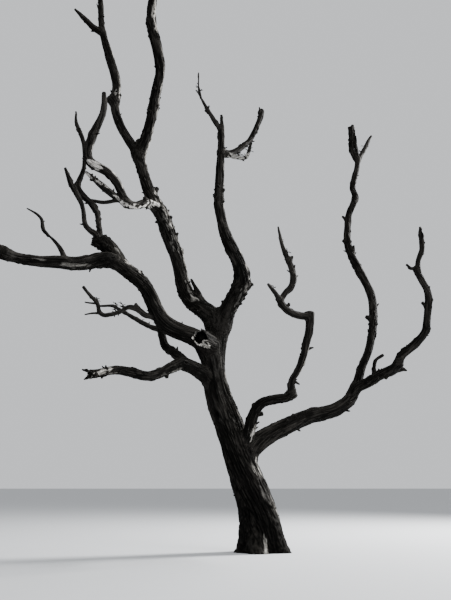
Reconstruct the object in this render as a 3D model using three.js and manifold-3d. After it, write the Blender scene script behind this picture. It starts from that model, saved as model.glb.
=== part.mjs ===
// A dead tree, bare and weathered, with broken tops. Millimetres, +Z up. The origin is the middle
// of the flat cut at ground level, under the trunk.
//
// Each limb is a tapering tube along a curve. Its route is given as it is seen from in front, by
// someone at VIEWER: distances across and up, in metres, on the upright plane through the trunk's
// foot. `back` says how far behind that plane the limb lies from its foot to its tip, and `thick`
// how thick it is, both as values spread evenly along it.

import * as THREE from 'three';
import { mergeVertices } from 'three/addons/utils/BufferGeometryUtils.js';
import Module from 'manifold-3d';

const METRE = 1000;
const VIEWER = { across: -0.8, back: -17.8, up: 1.35 };

// A limb starts on the middle line of the limb that carries it, and is cut clear of it.
const JOINT_GAP = 0.35;

// The foot of the trunk spreads into root buttresses that die away over FLARE_HEIGHT.
const FLARE_REACH = 0.42;
const FLARE_HEIGHT = 300;
const BUTTRESSES = 5;

// The buttresses run on up the trunk as flutes, with three broader ones among them. They wind
// round it by this many radians a metre, and are this share of its radius deep.
const TWIST = 0.42;
const FLUTE_DEPTH = 0.05;

// Limbs wander in depth by this share of their length, so that they look crooked from every side.
const WANDER = 0.03;

// Weathered wood isn't round: its radius varies by this share from one rib to the next.
const RIB_DEPTH = 0.05;

// How many rings of points a limb has for each leg of its route, and how many the trunk has.
const RINGS_PER_LEG = 1.6;
const TRUNK_RINGS = 26;

const COLOURS = { bark: 0x3d3b38, pale: 0x97918a, twig: 0x57534e };

const TRUNK = {
  name: 'trunk', wood: 'bark',
  way: [[0, -0.2], [0, 0.1], [-0.05, 0.55], [-0.19, 1.1], [-0.4, 1.7], [-0.68, 2.57],
    [-0.97, 3.4], [-1.07, 3.9], [-1.05, 4.4], [-0.95, 4.95]],
  thick: [0.9, 0.84, 0.74, 0.66, 0.62, 0.57, 0.52, 0.48, 0.46], back: [0, 0, 0],
};

// The two leaders, into which the trunk forks, and what they carry.
const LEADERS = [
  { name: 'left_leader', on: 'trunk', wood: 'bark',
    way: [[-0.98, 4.72], [-1.08, 5.05], [-1.31, 5.3], [-1.61, 5.53], [-1.78, 5.89], [-1.89, 6.39],
      [-2.15, 7.19], [-2.29, 7.58], [-2.51, 7.93], [-2.84, 8.89], [-2.9, 9.2]],
    thick: [0.46, 0.41, 0.33, 0.29, 0.31, 0.35, 0.32, 0.27, 0.24, 0.25], back: [0.3, 0.5],
    sprigs: [
      { way: [[-1.3, 5.42], [-1.41, 5.62], [-1.52, 5.86], [-1.59, 6]], thick: [0.26, 0.16, 0.09, 0.05] },
      { way: [[-2.53, 8.04], [-2.41, 8.22]], thick: [0.2, 0.1] },
    ] },
  { name: 'left_top_outer', on: 'left_leader', wood: 'bark',
    way: [[-2.88, 9.08], [-3.14, 9.48], [-3.34, 9.84], [-3.49, 10.34], [-3.46, 10.92],
      [-3.67, 11.7], [-3.88, 12.5], [-3.93, 13.17], [-4.02, 13.6], [-4.13, 13.95]],
    thick: [0.24, 0.2, 0.2, 0.2, 0.21, 0.2, 0.17, 0.14, 0.12, 0.06], back: [0.9, 0.7],
    sprigs: [
      { way: [[-3.49, 10.5], [-3.64, 10.51]], thick: [0.36, 0.16] },
      { way: [[-3.92, 12.85], [-3.98, 13], [-4.02, 13.12]], thick: [0.06, 0.02] },
    ] },
  { name: 'left_top_spur', on: 'left_top_outer', wood: 'bark',
    way: [[-3.84, 12.3], [-4.09, 12.47], [-4.28, 12.67], [-4.56, 12.97]],
    thick: [0.18, 0.15, 0.12, 0.05], back: [0.4] },
  { name: 'left_top_inner', on: 'left_leader', wood: 'bark',
    way: [[-2.88, 9.08], [-2.71, 9.5], [-2.6, 9.97], [-2.47, 10.81], [-2.4, 11.24],
      [-2.45, 11.7], [-2.64, 12.56], [-2.63, 13.17], [-2.57, 13.5], [-2.64, 13.8]],
    thick: [0.26, 0.24, 0.24, 0.23, 0.24, 0.25, 0.24, 0.21, 0.1], back: [-0.5, -0.9] },
  { name: 'right_leader', on: 'trunk', wood: 'bark',
    way: [[-0.95, 4.72], [-0.85, 5.05], [-0.7, 5.37], [-0.5, 5.72], [-0.43, 6.05], [-0.5, 6.39],
      [-0.79, 7.04], [-0.95, 7.8], [-0.93, 8.63], [-0.9, 9.5], [-0.91, 9.76]],
    thick: [0.4, 0.39, 0.37, 0.32, 0.27, 0.23, 0.21, 0.2, 0.17, 0.15], back: [-0.6, -1.2, -1.5],
    sprigs: [
      { way: [[-0.47, 5.86], [-0.31, 5.87], [-0.16, 5.87]], thick: [0.4, 0.22, 0.02] },
      { way: [[-0.42, 6.05], [-0.35, 6.27], [-0.38, 6.46]], thick: [0.2, 0.1, 0.04] },
      { way: [[-0.79, 5.25], [-0.88, 5.49]], thick: [0.12, 0.05] },
      { way: [[-0.93, 7.85], [-1.06, 8.02]], thick: [0.14, 0.06] },
      { way: [[-0.91, 9.65], [-0.89, 9.9], [-0.9, 10.09]], thick: [0.13, 0.09, 0.06] },
    ] },
  { name: 'right_leader_arm', on: 'right_leader', wood: 'bark',
    way: [[-0.91, 9.12], [-0.7, 9.09], [-0.33, 9.33], [-0.19, 9.49], [0.03, 10], [0.07, 10.2]],
    thick: [0.2, 0.15, 0.12, 0.125, 0.12, 0.14], back: [-0.9, -0.5],
    sprigs: [{ way: [[0.06, 10.08], [0.02, 10.3]], thick: [0.06, 0.03] }] },
  { name: 'hidden_back_leader', on: 'left_leader', wood: 'bark',
    way: [[-1.7, 5.7], [-1.8, 6.1], [-1.89, 6.45], [-2.02, 6.85], [-2.15, 7.25], [-2.28, 7.6]],
    thick: [0.19, 0.15, 0.12, 0.06], back: [1.5, 2.1, 2.4] },
];

// The pale branches on the left leader, where the bark is gone.
const PALE_BRANCHES = [
  { name: 'pale_branch', on: 'left_leader', wood: 'pale',
    way: [[-2.36, 7.68], [-2.65, 7.85], [-2.9, 7.79], [-3.16, 7.84]],
    thick: [0.26, 0.22, 0.17, 0.17], back: [-0.4] },
  { name: 'pale_riser', on: 'pale_branch', wood: 'pale',
    way: [[-3.1, 7.83], [-3.24, 8.08], [-3.39, 8.39], [-3.56, 8.59], [-4.03, 8.9],
      [-4.09, 9.09], [-3.97, 9.6], [-3.75, 10.21], [-3.75, 10.68]],
    thick: [0.17, 0.19, 0.2, 0.22, 0.2, 0.19, 0.15, 0.1], back: [-0.9, -1.4] },
  { name: 'pale_side_branch', on: 'pale_branch', wood: 'pale',
    way: [[-3.1, 7.83], [-3.4, 8.02], [-3.67, 8.24], [-4.11, 8.63]],
    thick: [0.15, 0.16, 0.15, 0.06], back: [-0.5],
    sprigs: [
      { way: [[-3.28, 7.93], [-3.5, 7.89], [-3.66, 7.87], [-3.99, 7.92]], thick: [0.1, 0.085, 0.08] },
    ] },
];

// The left bough, its long arm, and the broken stump with two thin risers.
const LEFT_BOUGHS = [
  { name: 'left_bough', on: 'trunk', wood: 'bark',
    way: [[-1.06, 4.1], [-1.35, 4.53], [-1.6, 4.68], [-1.88, 4.79], [-2.13, 4.93], [-2.34, 5.18],
      [-2.6, 5.75], [-2.8, 5.99], [-3.28, 6.37]],
    thick: [0.48, 0.42, 0.36, 0.37, 0.34, 0.32, 0.32, 0.31], back: [-0.5, -1],
    sprigs: [{ way: [[-2.7, 5.92], [-2.75, 6.19]], thick: [0.16, 0.07] }] },
  { name: 'left_arm', on: 'left_bough', wood: 'bark',
    way: [[-3.22, 6.35], [-3.47, 6.45], [-3.75, 6.46], [-4.02, 6.4], [-4.28, 6.38], [-4.58, 6.41],
      [-5.13, 6.43], [-5.69, 6.53], [-5.95, 6.63]],
    thick: [0.29, 0.35, 0.34, 0.31, 0.29, 0.27, 0.25, 0.23, 0.31], back: [-1.7, -2.3],
    sprigs: [{ way: [[-5.9, 6.62], [-6.2, 6.6], [-6.5, 6.56]], thick: [0.18, 0.12, 0.06] }] },
  { name: 'left_arm_end', on: 'left_arm', wood: 'bark',
    way: [[-5.86, 6.6], [-6.1, 6.73], [-6.36, 6.9], [-6.61, 7.17], [-6.78, 7.5], [-6.82, 7.85]],
    thick: [0.27, 0.23, 0.19, 0.14, 0.06], back: [-2.7] },
  { name: 'left_arm_whip', on: 'left_arm', wood: 'twig',
    way: [[-4.5, 6.42], [-4.61, 6.7], [-4.79, 6.93], [-5.04, 7.18], [-5.11, 7.46], [-5.24, 7.59],
      [-5.46, 7.72]],
    thick: [0.17, 0.12, 0.09, 0.045, 0.09, 0.08, 0.055, 0.03], back: [-1.4] },
  { name: 'broken_stump', on: 'left_bough', wood: 'bark',
    way: [[-3.12, 6.25], [-3.39, 6.62], [-3.6, 6.81], [-3.86, 6.9]],
    thick: [0.28, 0.33, 0.3, 0.2], back: [-0.9], broken: true,
    sprigs: [{ way: [[-3.29, 6.5], [-3.47, 6.8], [-3.64, 6.98]], thick: [0.22, 0.26, 0.2] }] },
  { name: 'stump_riser_left', on: 'broken_stump', wood: 'bark',
    way: [[-3.76, 6.87], [-3.82, 7.07], [-3.96, 7.18], [-4.07, 7.31], [-4.17, 7.8],
      [-4.46, 8.35], [-4.61, 8.73]],
    thick: [0.16, 0.13, 0.11, 0.1, 0.13, 0.12, 0.06], back: [-1.6] },
  { name: 'stump_riser_right', on: 'broken_stump', wood: 'bark',
    way: [[-3.7, 6.85], [-3.75, 7.26], [-3.85, 7.7], [-4.21, 8.1], [-4.29, 8.27], [-4.17, 8.73],
      [-4.2, 9.37], [-4.4, 9.92], [-4.41, 10.18]],
    thick: [0.14, 0.12, 0.13, 0.15, 0.11, 0.08, 0.1, 0.09, 0.04], back: [-0.5, 0.2],
    sprigs: [
      { way: [[-4.19, 9.3], [-4.1, 9.5], [-4.08, 9.63], [-3.99, 9.78]], thick: [0.05, 0.035] },
    ] },
  { name: 'broken_stub', on: 'trunk', wood: 'bark',
    way: [[-1.04, 4.42], [-1.2, 4.54], [-1.33, 4.62]],
    thick: [0.32, 0.37, 0.38], back: [-0.5], broken: true },
];

// The lowest bough on the left, with the riser that passes behind the left bough.
const LOW_LEFT_BOUGHS = [
  { name: 'low_left_bough', on: 'trunk', wood: 'bark',
    way: [[-1.04, 3.6], [-1.48, 3.92], [-1.8, 4.04], [-2.04, 3.93], [-2.53, 3.77], [-2.98, 3.87],
      [-3.25, 3.9], [-3.8, 3.8]],
    thick: [0.38, 0.33, 0.27, 0.21, 0.21, 0.2, 0.18, 0.17], back: [-0.9, -1.7], broken: true,
    sprigs: [
      { way: [[-3.7, 3.82], [-4.01, 3.91]], thick: [0.12, 0.03] },
      { way: [[-3.7, 3.79], [-3.96, 3.69]], thick: [0.14, 0.03] },
      { way: [[-3.45, 3.86], [-3.57, 3.99]], thick: [0.09, 0.02] },
      { way: [[-2.13, 3.86], [-2.11, 3.73]], thick: [0.14, 0.07] },
    ] },
  { name: 'low_left_riser', on: 'low_left_bough', wood: 'bark',
    way: [[-1.6, 4], [-1.95, 4.29], [-2.15, 4.44], [-2.23, 4.65], [-2.28, 4.9]],
    thick: [0.24, 0.21, 0.18, 0.15], back: [0.1, 0.4] },
];

// The bough inside the right one: out, up and back again.
const INNER_BOUGHS = [
  { name: 'inner_bough_low', on: 'trunk', wood: 'bark',
    way: [[-0.5, 2.1], [-0.3, 2.5], [-0.19, 2.88], [-0.09, 3.07], [0.05, 3.18], [0.32, 3.25],
      [0.57, 3.29], [0.72, 3.37]],
    thick: [0.28, 0.26, 0.24, 0.22, 0.21, 0.2, 0.19], back: [-0.5, -0.9],
    sprigs: [
      { way: [[-0.1, 3.03], [-0.19, 3.14]], thick: [0.14, 0.08] },
      { way: [[-0.24, 2.83], [-0.08, 2.9], [0.01, 2.93]], thick: [0.08, 0.07, 0.1] },
      { way: [[0.64, 3.38], [0.6, 3.6]], thick: [0.14, 0.06] },
    ] },
  { name: 'inner_bough_mid', on: 'inner_bough_low', wood: 'bark',
    way: [[0.66, 3.4], [0.68, 3.65], [0.81, 3.88], [0.94, 4.17], [1.02, 4.51], [1.1, 4.84],
      [1.12, 5.2]],
    thick: [0.17, 0.14, 0.14, 0.16, 0.18, 0.2], back: [-1.5],
    sprigs: [
      { way: [[0.99, 4.37], [1.18, 4.41]], thick: [0.1, 0.03] },
      { way: [[0.7, 3.67], [0.85, 3.58]], thick: [0.1, 0.03] },
    ] },
  { name: 'inner_bough_top', on: 'inner_bough_mid', wood: 'bark',
    way: [[1.12, 5.13], [0.89, 5.15], [0.67, 5.23], [0.5, 5.39], [0.42, 5.56]],
    thick: [0.18, 0.16, 0.155, 0.15], back: [-1.9],
    sprigs: [{ way: [[0.58, 5.3], [0.65, 5.43]], thick: [0.1, 0.05] }] },
];

// The right bough, its tall upright, and the far bough that turns up beyond it.
const RIGHT_BOUGHS = [
  { name: 'right_bough', on: 'trunk', wood: 'bark',
    way: [[-0.43, 1.9], [-0.22, 2.2], [0.05, 2.4], [0.36, 2.56], [1.02, 2.86], [1.35, 2.93],
      [1.66, 3.03], [1.94, 3.22], [2.1, 3.49]],
    thick: [0.46, 0.42, 0.37, 0.33, 0.3, 0.29, 0.27, 0.25], back: [0.3, 0.7] },
  { name: 'right_upright', on: 'right_bough', wood: 'bark',
    way: [[2.06, 3.38], [2.17, 3.72], [2.26, 3.97], [2.41, 4.31], [2.55, 4.95], [2.54, 5.6],
      [2.39, 5.98], [2.1, 6.6], [2.03, 6.92], [2.05, 7.28], [2.09, 7.56], [2.22, 7.88],
      [2.25, 8.02], [2.2, 8.24], [2.24, 8.44], [2.31, 8.68], [2.35, 8.94]],
    thick: [0.22, 0.17, 0.17, 0.18, 0.18, 0.18, 0.17, 0.15, 0.14, 0.12, 0.11], back: [1.4, 2],
    sprigs: [
      { way: [[2.54, 5.04], [2.4, 5.12]], thick: [0.17, 0.08] },
      { way: [[2.09, 6.54], [2.17, 6.65], [2.175, 6.8]], thick: [0.1, 0.06, 0.05] },
      { way: [[2.03, 6.86], [1.93, 6.93]], thick: [0.1, 0.06] },
      { way: [[2.04, 7.4], [1.94, 7.52]], thick: [0.1, 0.05] },
      { way: [[2.33, 8.88], [2.235, 9.09], [2.21, 9.3], [2.21, 9.6], [2.215, 9.76]],
        thick: [0.12, 0.1, 0.1, 0.11, 0.13] },
      { way: [[2.215, 9.7], [2.26, 9.83]], thick: [0.1, 0.06] },
    ] },
  { name: 'right_far_bough', on: 'right_bough', wood: 'bark',
    way: [[1.95, 3.34], [2.12, 3.49], [2.38, 3.62], [2.65, 3.78], [2.91, 3.9], [3.1, 4.04]],
    thick: [0.2, 0.22, 0.22, 0.22, 0.2], back: [0.3, -0.4],
    sprigs: [
      { way: [[2.82, 3.86], [3.03, 3.92], [3.17, 3.92], [3.26, 3.89]], thick: [0.22, 0.21, 0.14, 0.03] },
      { way: [[2.5, 3.72], [2.53, 3.97], [2.57, 4.12], [2.74, 4.24]], thick: [0.1, 0.09, 0.08, 0.07] },
    ] },
  { name: 'right_far_upright', on: 'right_far_bough', wood: 'bark',
    way: [[3.03, 3.98], [3.15, 4.22], [3.33, 4.37], [3.55, 4.56], [3.72, 4.79], [3.78, 5.09],
      [3.84, 5.65], [3.72, 5.96], [3.6, 6.22]],
    thick: [0.2, 0.2, 0.19, 0.17, 0.16, 0.17, 0.15, 0.14], back: [-0.9, -1.3],
    sprigs: [
      { way: [[3.82, 5.42], [3.93, 5.52]], thick: [0.1, 0.06] },
      { way: [[3.78, 5.3], [3.69, 5.45]], thick: [0.1, 0.06] },
    ] },
  { name: 'right_far_tip', on: 'right_far_upright', wood: 'bark',
    way: [[3.61, 6.15], [3.65, 6.44], [3.75, 6.7], [3.74, 7.26]],
    thick: [0.16, 0.12, 0.11, 0.12, 0.12, 0.1, 0.04], back: [-1.6],
    sprigs: [{ way: [[3.63, 6.27], [3.48, 6.26], [3.38, 6.35]], thick: [0.1, 0.07, 0.05] }] },
  { name: 'hidden_back_bough', on: 'trunk', wood: 'bark',
    way: [[-0.99, 3.45], [-1.06, 3.9], [-1.03, 4.4], [-0.9, 4.9], [-0.72, 5.35], [-0.54, 5.72],
      [-0.47, 6.05], [-0.54, 6.42], [-0.8, 7.02], [-0.9, 7.5]],
    thick: [0.3, 0.26, 0.22, 0.18, 0.15, 0.11, 0.06], back: [1.3, 2.2, 2.9, 3.1] },
];

// The bare crown's masses: sprays of thin twigs, each on one stem.
const TWIG_SPRAYS = [
  { name: 'twigs_right_leader', on: 'right_leader', wood: 'twig', twiglets: 2,
    way: [[-0.91, 9.68], [-1.08, 9.97], [-1.35, 10.46], [-1.44, 10.68], [-1.46, 11.22]],
    thick: [0.12, 0.11, 0.09, 0.045, 0.035, 0.03], back: [-2.1],
    sprigs: [
      { way: [[-1.2, 10.15], [-1.29, 10.22]], thick: [0.09, 0.06] },
      { way: [[-1.33, 10.42], [-1.44, 10.63], [-1.52, 10.76]], thick: [0.05, 0.02] },
    ] },
  { name: 'twigs_right_arm', on: 'right_leader_arm', wood: 'pale', twiglets: 2,
    way: [[-0.76, 9.1], [-0.57, 9.01], [-0.32, 9], [-0.25, 9.14], [-0.19, 9.37]],
    thick: [0.1, 0.1, 0.09, 0.08, 0.06], back: [-2.1] },
  { name: 'twigs_left_mid', on: 'left_bough', wood: 'twig', twiglets: 3,
    way: [[-2.34, 5.08], [-2.6, 5.15], [-2.8, 5.29], [-3.02, 5.34], [-3.2, 5.24], [-3.38, 5.18],
      [-3.56, 5.16], [-3.67, 5.23], [-3.72, 5.42], [-3.97, 5.7], [-4.06, 5.82]],
    thick: [0.13, 0.13, 0.14, 0.12, 0.09, 0.09, 0.1, 0.09, 0.08, 0.07], back: [-1.2],
    sprigs: [
      { way: [[-2.78, 5.3], [-2.85, 5.42]], thick: [0.13, 0.07] },
      { way: [[-3.64, 5.2], [-3.84, 5.2], [-4, 5.17]], thick: [0.06, 0.03] },
      { way: [[-3.73, 5.43], [-3.89, 5.44], [-4.01, 5.46]], thick: [0.055, 0.03] },
    ] },
  { name: 'twigs_left_low', on: 'low_left_riser', wood: 'twig', twiglets: 3,
    way: [[-2.27, 4.81], [-2.51, 4.89], [-2.79, 5.04], [-3.22, 5.29], [-3.37, 5.37],
      [-3.66, 5.37]],
    thick: [0.12, 0.11, 0.1, 0.085, 0.07, 0.05], back: [0.9] },
  { name: 'twigs_inner_left', on: 'inner_bough_top', wood: 'twig', twiglets: 1,
    way: [[0.44, 5.52], [0.32, 5.7], [0.18, 5.88]],
    thick: [0.12, 0.1, 0.06], back: [-2.3] },
  { name: 'twigs_inner_right', on: 'inner_bough_top', wood: 'twig', twiglets: 3,
    way: [[0.46, 5.48], [0.56, 5.66], [0.69, 5.79], [0.76, 6.01], [0.72, 6.27], [0.52, 6.8],
      [0.43, 7.26]],
    thick: [0.12, 0.14, 0.16, 0.15, 0.13, 0.1, 0.075, 0.04], back: [-1.5],
    sprigs: [{ way: [[0.63, 6.42], [0.75, 6.54]], thick: [0.15, 0.06] }] },
  { name: 'twigs_right_top', on: 'right_upright', wood: 'twig', twiglets: 1,
    way: [[2.34, 8.86], [2.42, 9.03], [2.55, 9.27], [2.64, 9.46], [2.7, 9.55]],
    thick: [0.12, 0.1, 0.1, 0.09, 0.05], back: [2.3] },
];

const LIMBS = [
  ...LEADERS, ...PALE_BRANCHES, ...LEFT_BOUGHS, ...LOW_LEFT_BOUGHS, ...INNER_BOUGHS,
  ...RIGHT_BOUGHS, ...TWIG_SPRAYS,
];

// A twiglet of a spray: a thin shoot that runs mostly towards or away from the front.
const TWIGLET = { length: 0.3, thick: 0.035, tipThick: 0.015, firstShare: 0.3 };

const wasm = await Module();
wasm.setup();

// A repeatable run of numbers from 0 to 1.
function seededNumbers(seed) {
  let state = (seed + 1) * 2654435761 >>> 0;
  return () => {
    state = Math.imul(state ^ state >>> 15, state | 1);
    state ^= state + Math.imul(state ^ state >>> 7, state | 61);
    return ((state ^ state >>> 14) >>> 0) / 4294967296;
  };
}

// The value at a share of the way along a list of values spread evenly.
function along(values, share) {
  const at = share * (values.length - 1);
  const low = Math.min(Math.floor(at), values.length - 2);
  return THREE.MathUtils.lerp(values[low], values[low + 1], at - low);
}

// How much larger a thing is than it looks on the trunk's plane, when it lies `back` behind it.
const nearness = (back) => 1 + back / -VIEWER.back;

// The point seen at (across, up) that lies `back` behind the trunk's plane. In millimetres.
function place(across, up, back) {
  const scale = nearness(back);
  const x = VIEWER.across + (across - VIEWER.across) * scale;
  const z = VIEWER.up + (up - VIEWER.up) * scale;
  return new THREE.Vector3(x, back, z).multiplyScalar(METRE);
}

// A route's length on the trunk's plane, and where its points lie along it as shares of that.
function measure(way) {
  const legs = way.map((point, i) =>
    (i === 0 ? 0 : Math.hypot(point[0] - way[i - 1][0], point[1] - way[i - 1][1])));
  const length = legs.reduce((sum, leg) => sum + leg, 0);
  let reached = 0;
  const shares = legs.map((leg) => {
    reached += leg;
    return reached / length;
  });
  return { length, shares };
}

// The nearest place on a limb's middle line, as seen from in front.
function footOn(limb, [across, up]) {
  const samples = 200;
  let best = { apart: Infinity };
  for (let i = 0; i <= samples; i++) {
    const point = limb.curve.getPointAt(i / samples);
    const back = point.y / METRE;
    const seen = place(across, up, back);
    const apart = Math.hypot(seen.x - point.x, seen.z - point.z);
    if (apart < best.apart) best = { apart, point, back };
  }
  return best;
}

// A limb's curve and thickness in space. A sprig keeps to the depth of the limb that carries it.
function grow(entry, carrier, number) {
  const next = seededNumbers(number);
  const foot = carrier ? footOn(carrier, entry.way[0]) : null;
  const depths = foot ? [foot.back, ...(entry.back ?? [foot.back])] : entry.back;
  const { length, shares } = measure(entry.way);
  const wander = carrier && entry.back ? WANDER * length : 0;
  const turns = 1.2 + next();
  const phase = next() * Math.PI * 2;
  const points = shares.map((share, i) => {
    if (foot && i === 0) return foot.point.clone();
    const swing = Math.sin(share * turns * Math.PI * 2 + phase) * wander * share;
    return place(...entry.way[i], along(depths, share) + swing);
  });
  return {
    ...entry, number,
    curve: new THREE.CatmullRomCurve3(points, false, 'centripetal'),
    radiusAt(share) {
      const thick = along(entry.thick, share) * nearness(along(depths, share));
      return thick * METRE / 2;
    },
  };
}

// How many sides a tube has for its thickness at the foot.
function sidesFor(radius) {
  if (radius > 300) return 30;
  if (radius > 140) return 10;
  if (radius > 75) return 8;
  if (radius > 45) return 6;
  return radius > 22 ? 5 : 4;
}

// The trunk's buttresses and flutes: how much wider it is at a height and an angle round it.
function flareAt(height, angle) {
  const fade = Math.exp(-Math.max(height, 0) / FLARE_HEIGHT);
  const turned = angle + TWIST * Math.max(height, 0) / METRE;
  const lobe = Math.cos(BUTTRESSES * turned + 0.9);
  const broad = Math.cos(3 * turned + 2.2);
  return 1 + FLARE_REACH * fade * (0.68 + 0.32 * lobe) + FLUTE_DEPTH * (lobe + 0.6 * broad);
}

// A closed tube along a limb's curve, `extra` millimetres larger all round, as a solid.
function tube(limb, extra = 0) {
  const sides = sidesFor(limb.radiusAt(0));
  const legs = limb.curve.points.length - 1;
  const rings = Math.max(2, Math.round(legs * (limb.short ? 1 : RINGS_PER_LEG)));
  const steps = limb.on ? rings : TRUNK_RINGS;
  const frames = limb.curve.computeFrenetFrames(steps, false);
  const next = seededNumbers(limb.number + 40);
  const depth = limb.on ? RIB_DEPTH : 0;
  const ribs = Array.from({ length: sides }, () => 1 + depth * (next() * 2 - 1));
  const ragged = Array.from({ length: sides }, () => (limb.broken ? next() * 0.9 : 0));
  const vertices = [];
  const ring = (step, radius, shift, rough) => {
    const centre = limb.curve.getPointAt(step / steps);
    for (let side = 0; side < sides; side++) {
      const angle = side / sides * Math.PI * 2;
      const flare = limb.on ? 1 : flareAt(centre.z, angle);
      const reach = radius * ribs[side] * flare + extra;
      vertices.push(centre.clone()
        .addScaledVector(frames.normals[step], Math.cos(angle) * reach)
        .addScaledVector(frames.binormals[step], Math.sin(angle) * reach)
        .addScaledVector(frames.tangents[step], shift + rough * ragged[side] * radius));
    }
  };
  const cap = (step, shift) => {
    vertices.push(limb.curve.getPointAt(step / steps).addScaledVector(frames.tangents[step], shift));
  };
  cap(0, -extra);
  ring(0, limb.radiusAt(0), -extra, 0);
  for (let step = 1; step < steps; step++) ring(step, limb.radiusAt(step / steps), 0, 0);
  const tip = limb.radiusAt(1);
  ring(steps, tip, extra, 1);
  if (!limb.broken) ring(steps, tip * 0.6, tip * 0.45 + extra, 0);
  cap(steps, (limb.broken ? 0.1 : 0.6) * tip + extra);
  return solidOf(vertices, sides);
}

// Joins a first point, rings of points and a last point into a closed solid.
function solidOf(vertices, sides) {
  const rings = (vertices.length - 2) / sides;
  const last = vertices.length - 1;
  const triangles = [];
  for (let side = 0; side < sides; side++) {
    const beside = (side + 1) % sides;
    triangles.push(0, 1 + beside, 1 + side);
    for (let r = 0; r < rings - 1; r++) {
      const low = 1 + r * sides;
      const high = low + sides;
      triangles.push(low + side, low + beside, high + beside);
      triangles.push(low + side, high + beside, high + side);
    }
    const top = 1 + (rings - 1) * sides;
    triangles.push(last, top + side, top + beside);
  }
  const vertProperties = new Float32Array(vertices.flatMap((v) => [v.x, v.y, v.z]));
  return new wasm.Manifold(new wasm.Mesh({
    numProp: 3, vertProperties, triVerts: new Uint32Array(triangles),
  }));
}

// A spray's twiglets: seeded shoots off its stem, behind it and in front of it in turn.
function twigletsOf(limb) {
  const next = seededNumbers(limb.number + 80);
  return Array.from({ length: limb.twiglets ?? 0 }, (_, i) => {
    const share = THREE.MathUtils.lerp(TWIGLET.firstShare, 0.85, (i + next() * 0.6) / limb.twiglets);
    const foot = limb.curve.getPointAt(share);
    const heading = limb.curve.getTangentAt(share);
    const side = new THREE.Vector3(next() * 0.3 - 0.15, i % 2 === 0 ? 1 : -1, 0.25 + next() * 0.5);
    heading.multiplyScalar(0.5).add(side).normalize();
    const reach = TWIGLET.length * METRE * (0.7 + next() * 0.6);
    const tip = foot.clone().addScaledVector(heading, reach);
    const bend = foot.clone().lerp(tip, 0.5).add(new THREE.Vector3(0, 0, reach * 0.1));
    return {
      ...limb, broken: false, short: true, number: limb.number + i,
      curve: new THREE.CatmullRomCurve3([foot, bend, tip], false, 'centripetal'),
      radiusAt: (s) => THREE.MathUtils.lerp(TWIGLET.thick, TWIGLET.tipThick, s) * METRE / 2,
    };
  });
}

// A limb's whole solid: its tube, its short sprigs and its twiglets.
function wholeSolid(limb, extra = 0) {
  const small = (limb.sprigs ?? []).map((sprig, i) =>
    ({ ...grow(sprig, limb, limb.number + i), on: limb.name, short: true }));
  return [...small, ...twigletsOf(limb)].reduce(
    (solid, shoot) => solid.add(tube(shoot, extra)), tube(limb, extra));
}

// The largest body of a solid that a cut may have left in pieces.
function largestBody(solid) {
  return solid.decompose().reduce((best, body) => (body.volume() > best.volume() ? body : best));
}

// Everything below the ground, as a solid to cut away.
function underground() {
  const box = new THREE.BoxGeometry(4 * METRE, 4 * METRE, METRE).translate(0, 0, -METRE / 2);
  box.deleteAttribute('normal');
  box.deleteAttribute('uv');
  const merged = mergeVertices(box);
  return new wasm.Manifold(new wasm.Mesh({
    numProp: 3, vertProperties: merged.attributes.position.array,
    triVerts: new Uint32Array(merged.index.array),
  }));
}

function meshOf(limb, solid) {
  const { vertProperties, triVerts } = solid.getMesh();
  const geometry = new THREE.BufferGeometry();
  geometry.setAttribute('position', new THREE.BufferAttribute(vertProperties, 3));
  geometry.setIndex(new THREE.BufferAttribute(triVerts, 1));
  geometry.computeVertexNormals();
  const material = new THREE.MeshStandardMaterial({
    color: COLOURS[limb.wood], roughness: 0.95, metalness: 0, flatShading: true,
  });
  const mesh = new THREE.Mesh(geometry, material);
  mesh.name = limb.name;
  return mesh;
}

const carrierOf = Object.fromEntries(LIMBS.map((entry) => [entry.name, entry.on]));

// Limbs that share a carrier, or carry one another, are cut clear of those made before them.
function isKin(limb, other) {
  const carriers = [limb.on, carrierOf[limb.on]];
  return carriers.includes(other.name) || other.on === limb.on;
}

const tree = new THREE.Group();
const grown = [];

[TRUNK, ...LIMBS].forEach((entry, number) => {
  const carrier = grown.find((other) => other.name === entry.on);
  const limb = grow(entry, carrier, number);
  const neighbours = grown.filter((other) => isKin(limb, other)).map((other) => other.roomy);
  const raw = [...(carrier ? [] : [underground()]), ...neighbours].reduce(
    (solid, other) => solid.subtract(other), wholeSolid(limb));
  limb.roomy = wholeSolid(limb, JOINT_GAP);
  grown.push(limb);
  tree.add(meshOf(limb, largestBody(raw)));
});

export default tree;
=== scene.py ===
"""A dead tree, bare and weathered, dressed over its solid model.

Each limb follows the same route as its solid, so a piece lies where the solid it replaces lies.
A piece is a skin carried along the limb's middle line. It is worn into flutes, cracks, knots and
splinters, and runs smoothly into the limb that carries it. Lengths are in metres, +Z is up.
"""

from __future__ import annotations

import itertools
import logging
import math
from collections.abc import Iterator, Sequence
from dataclasses import dataclass, field, replace
from enum import Enum, IntEnum

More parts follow.
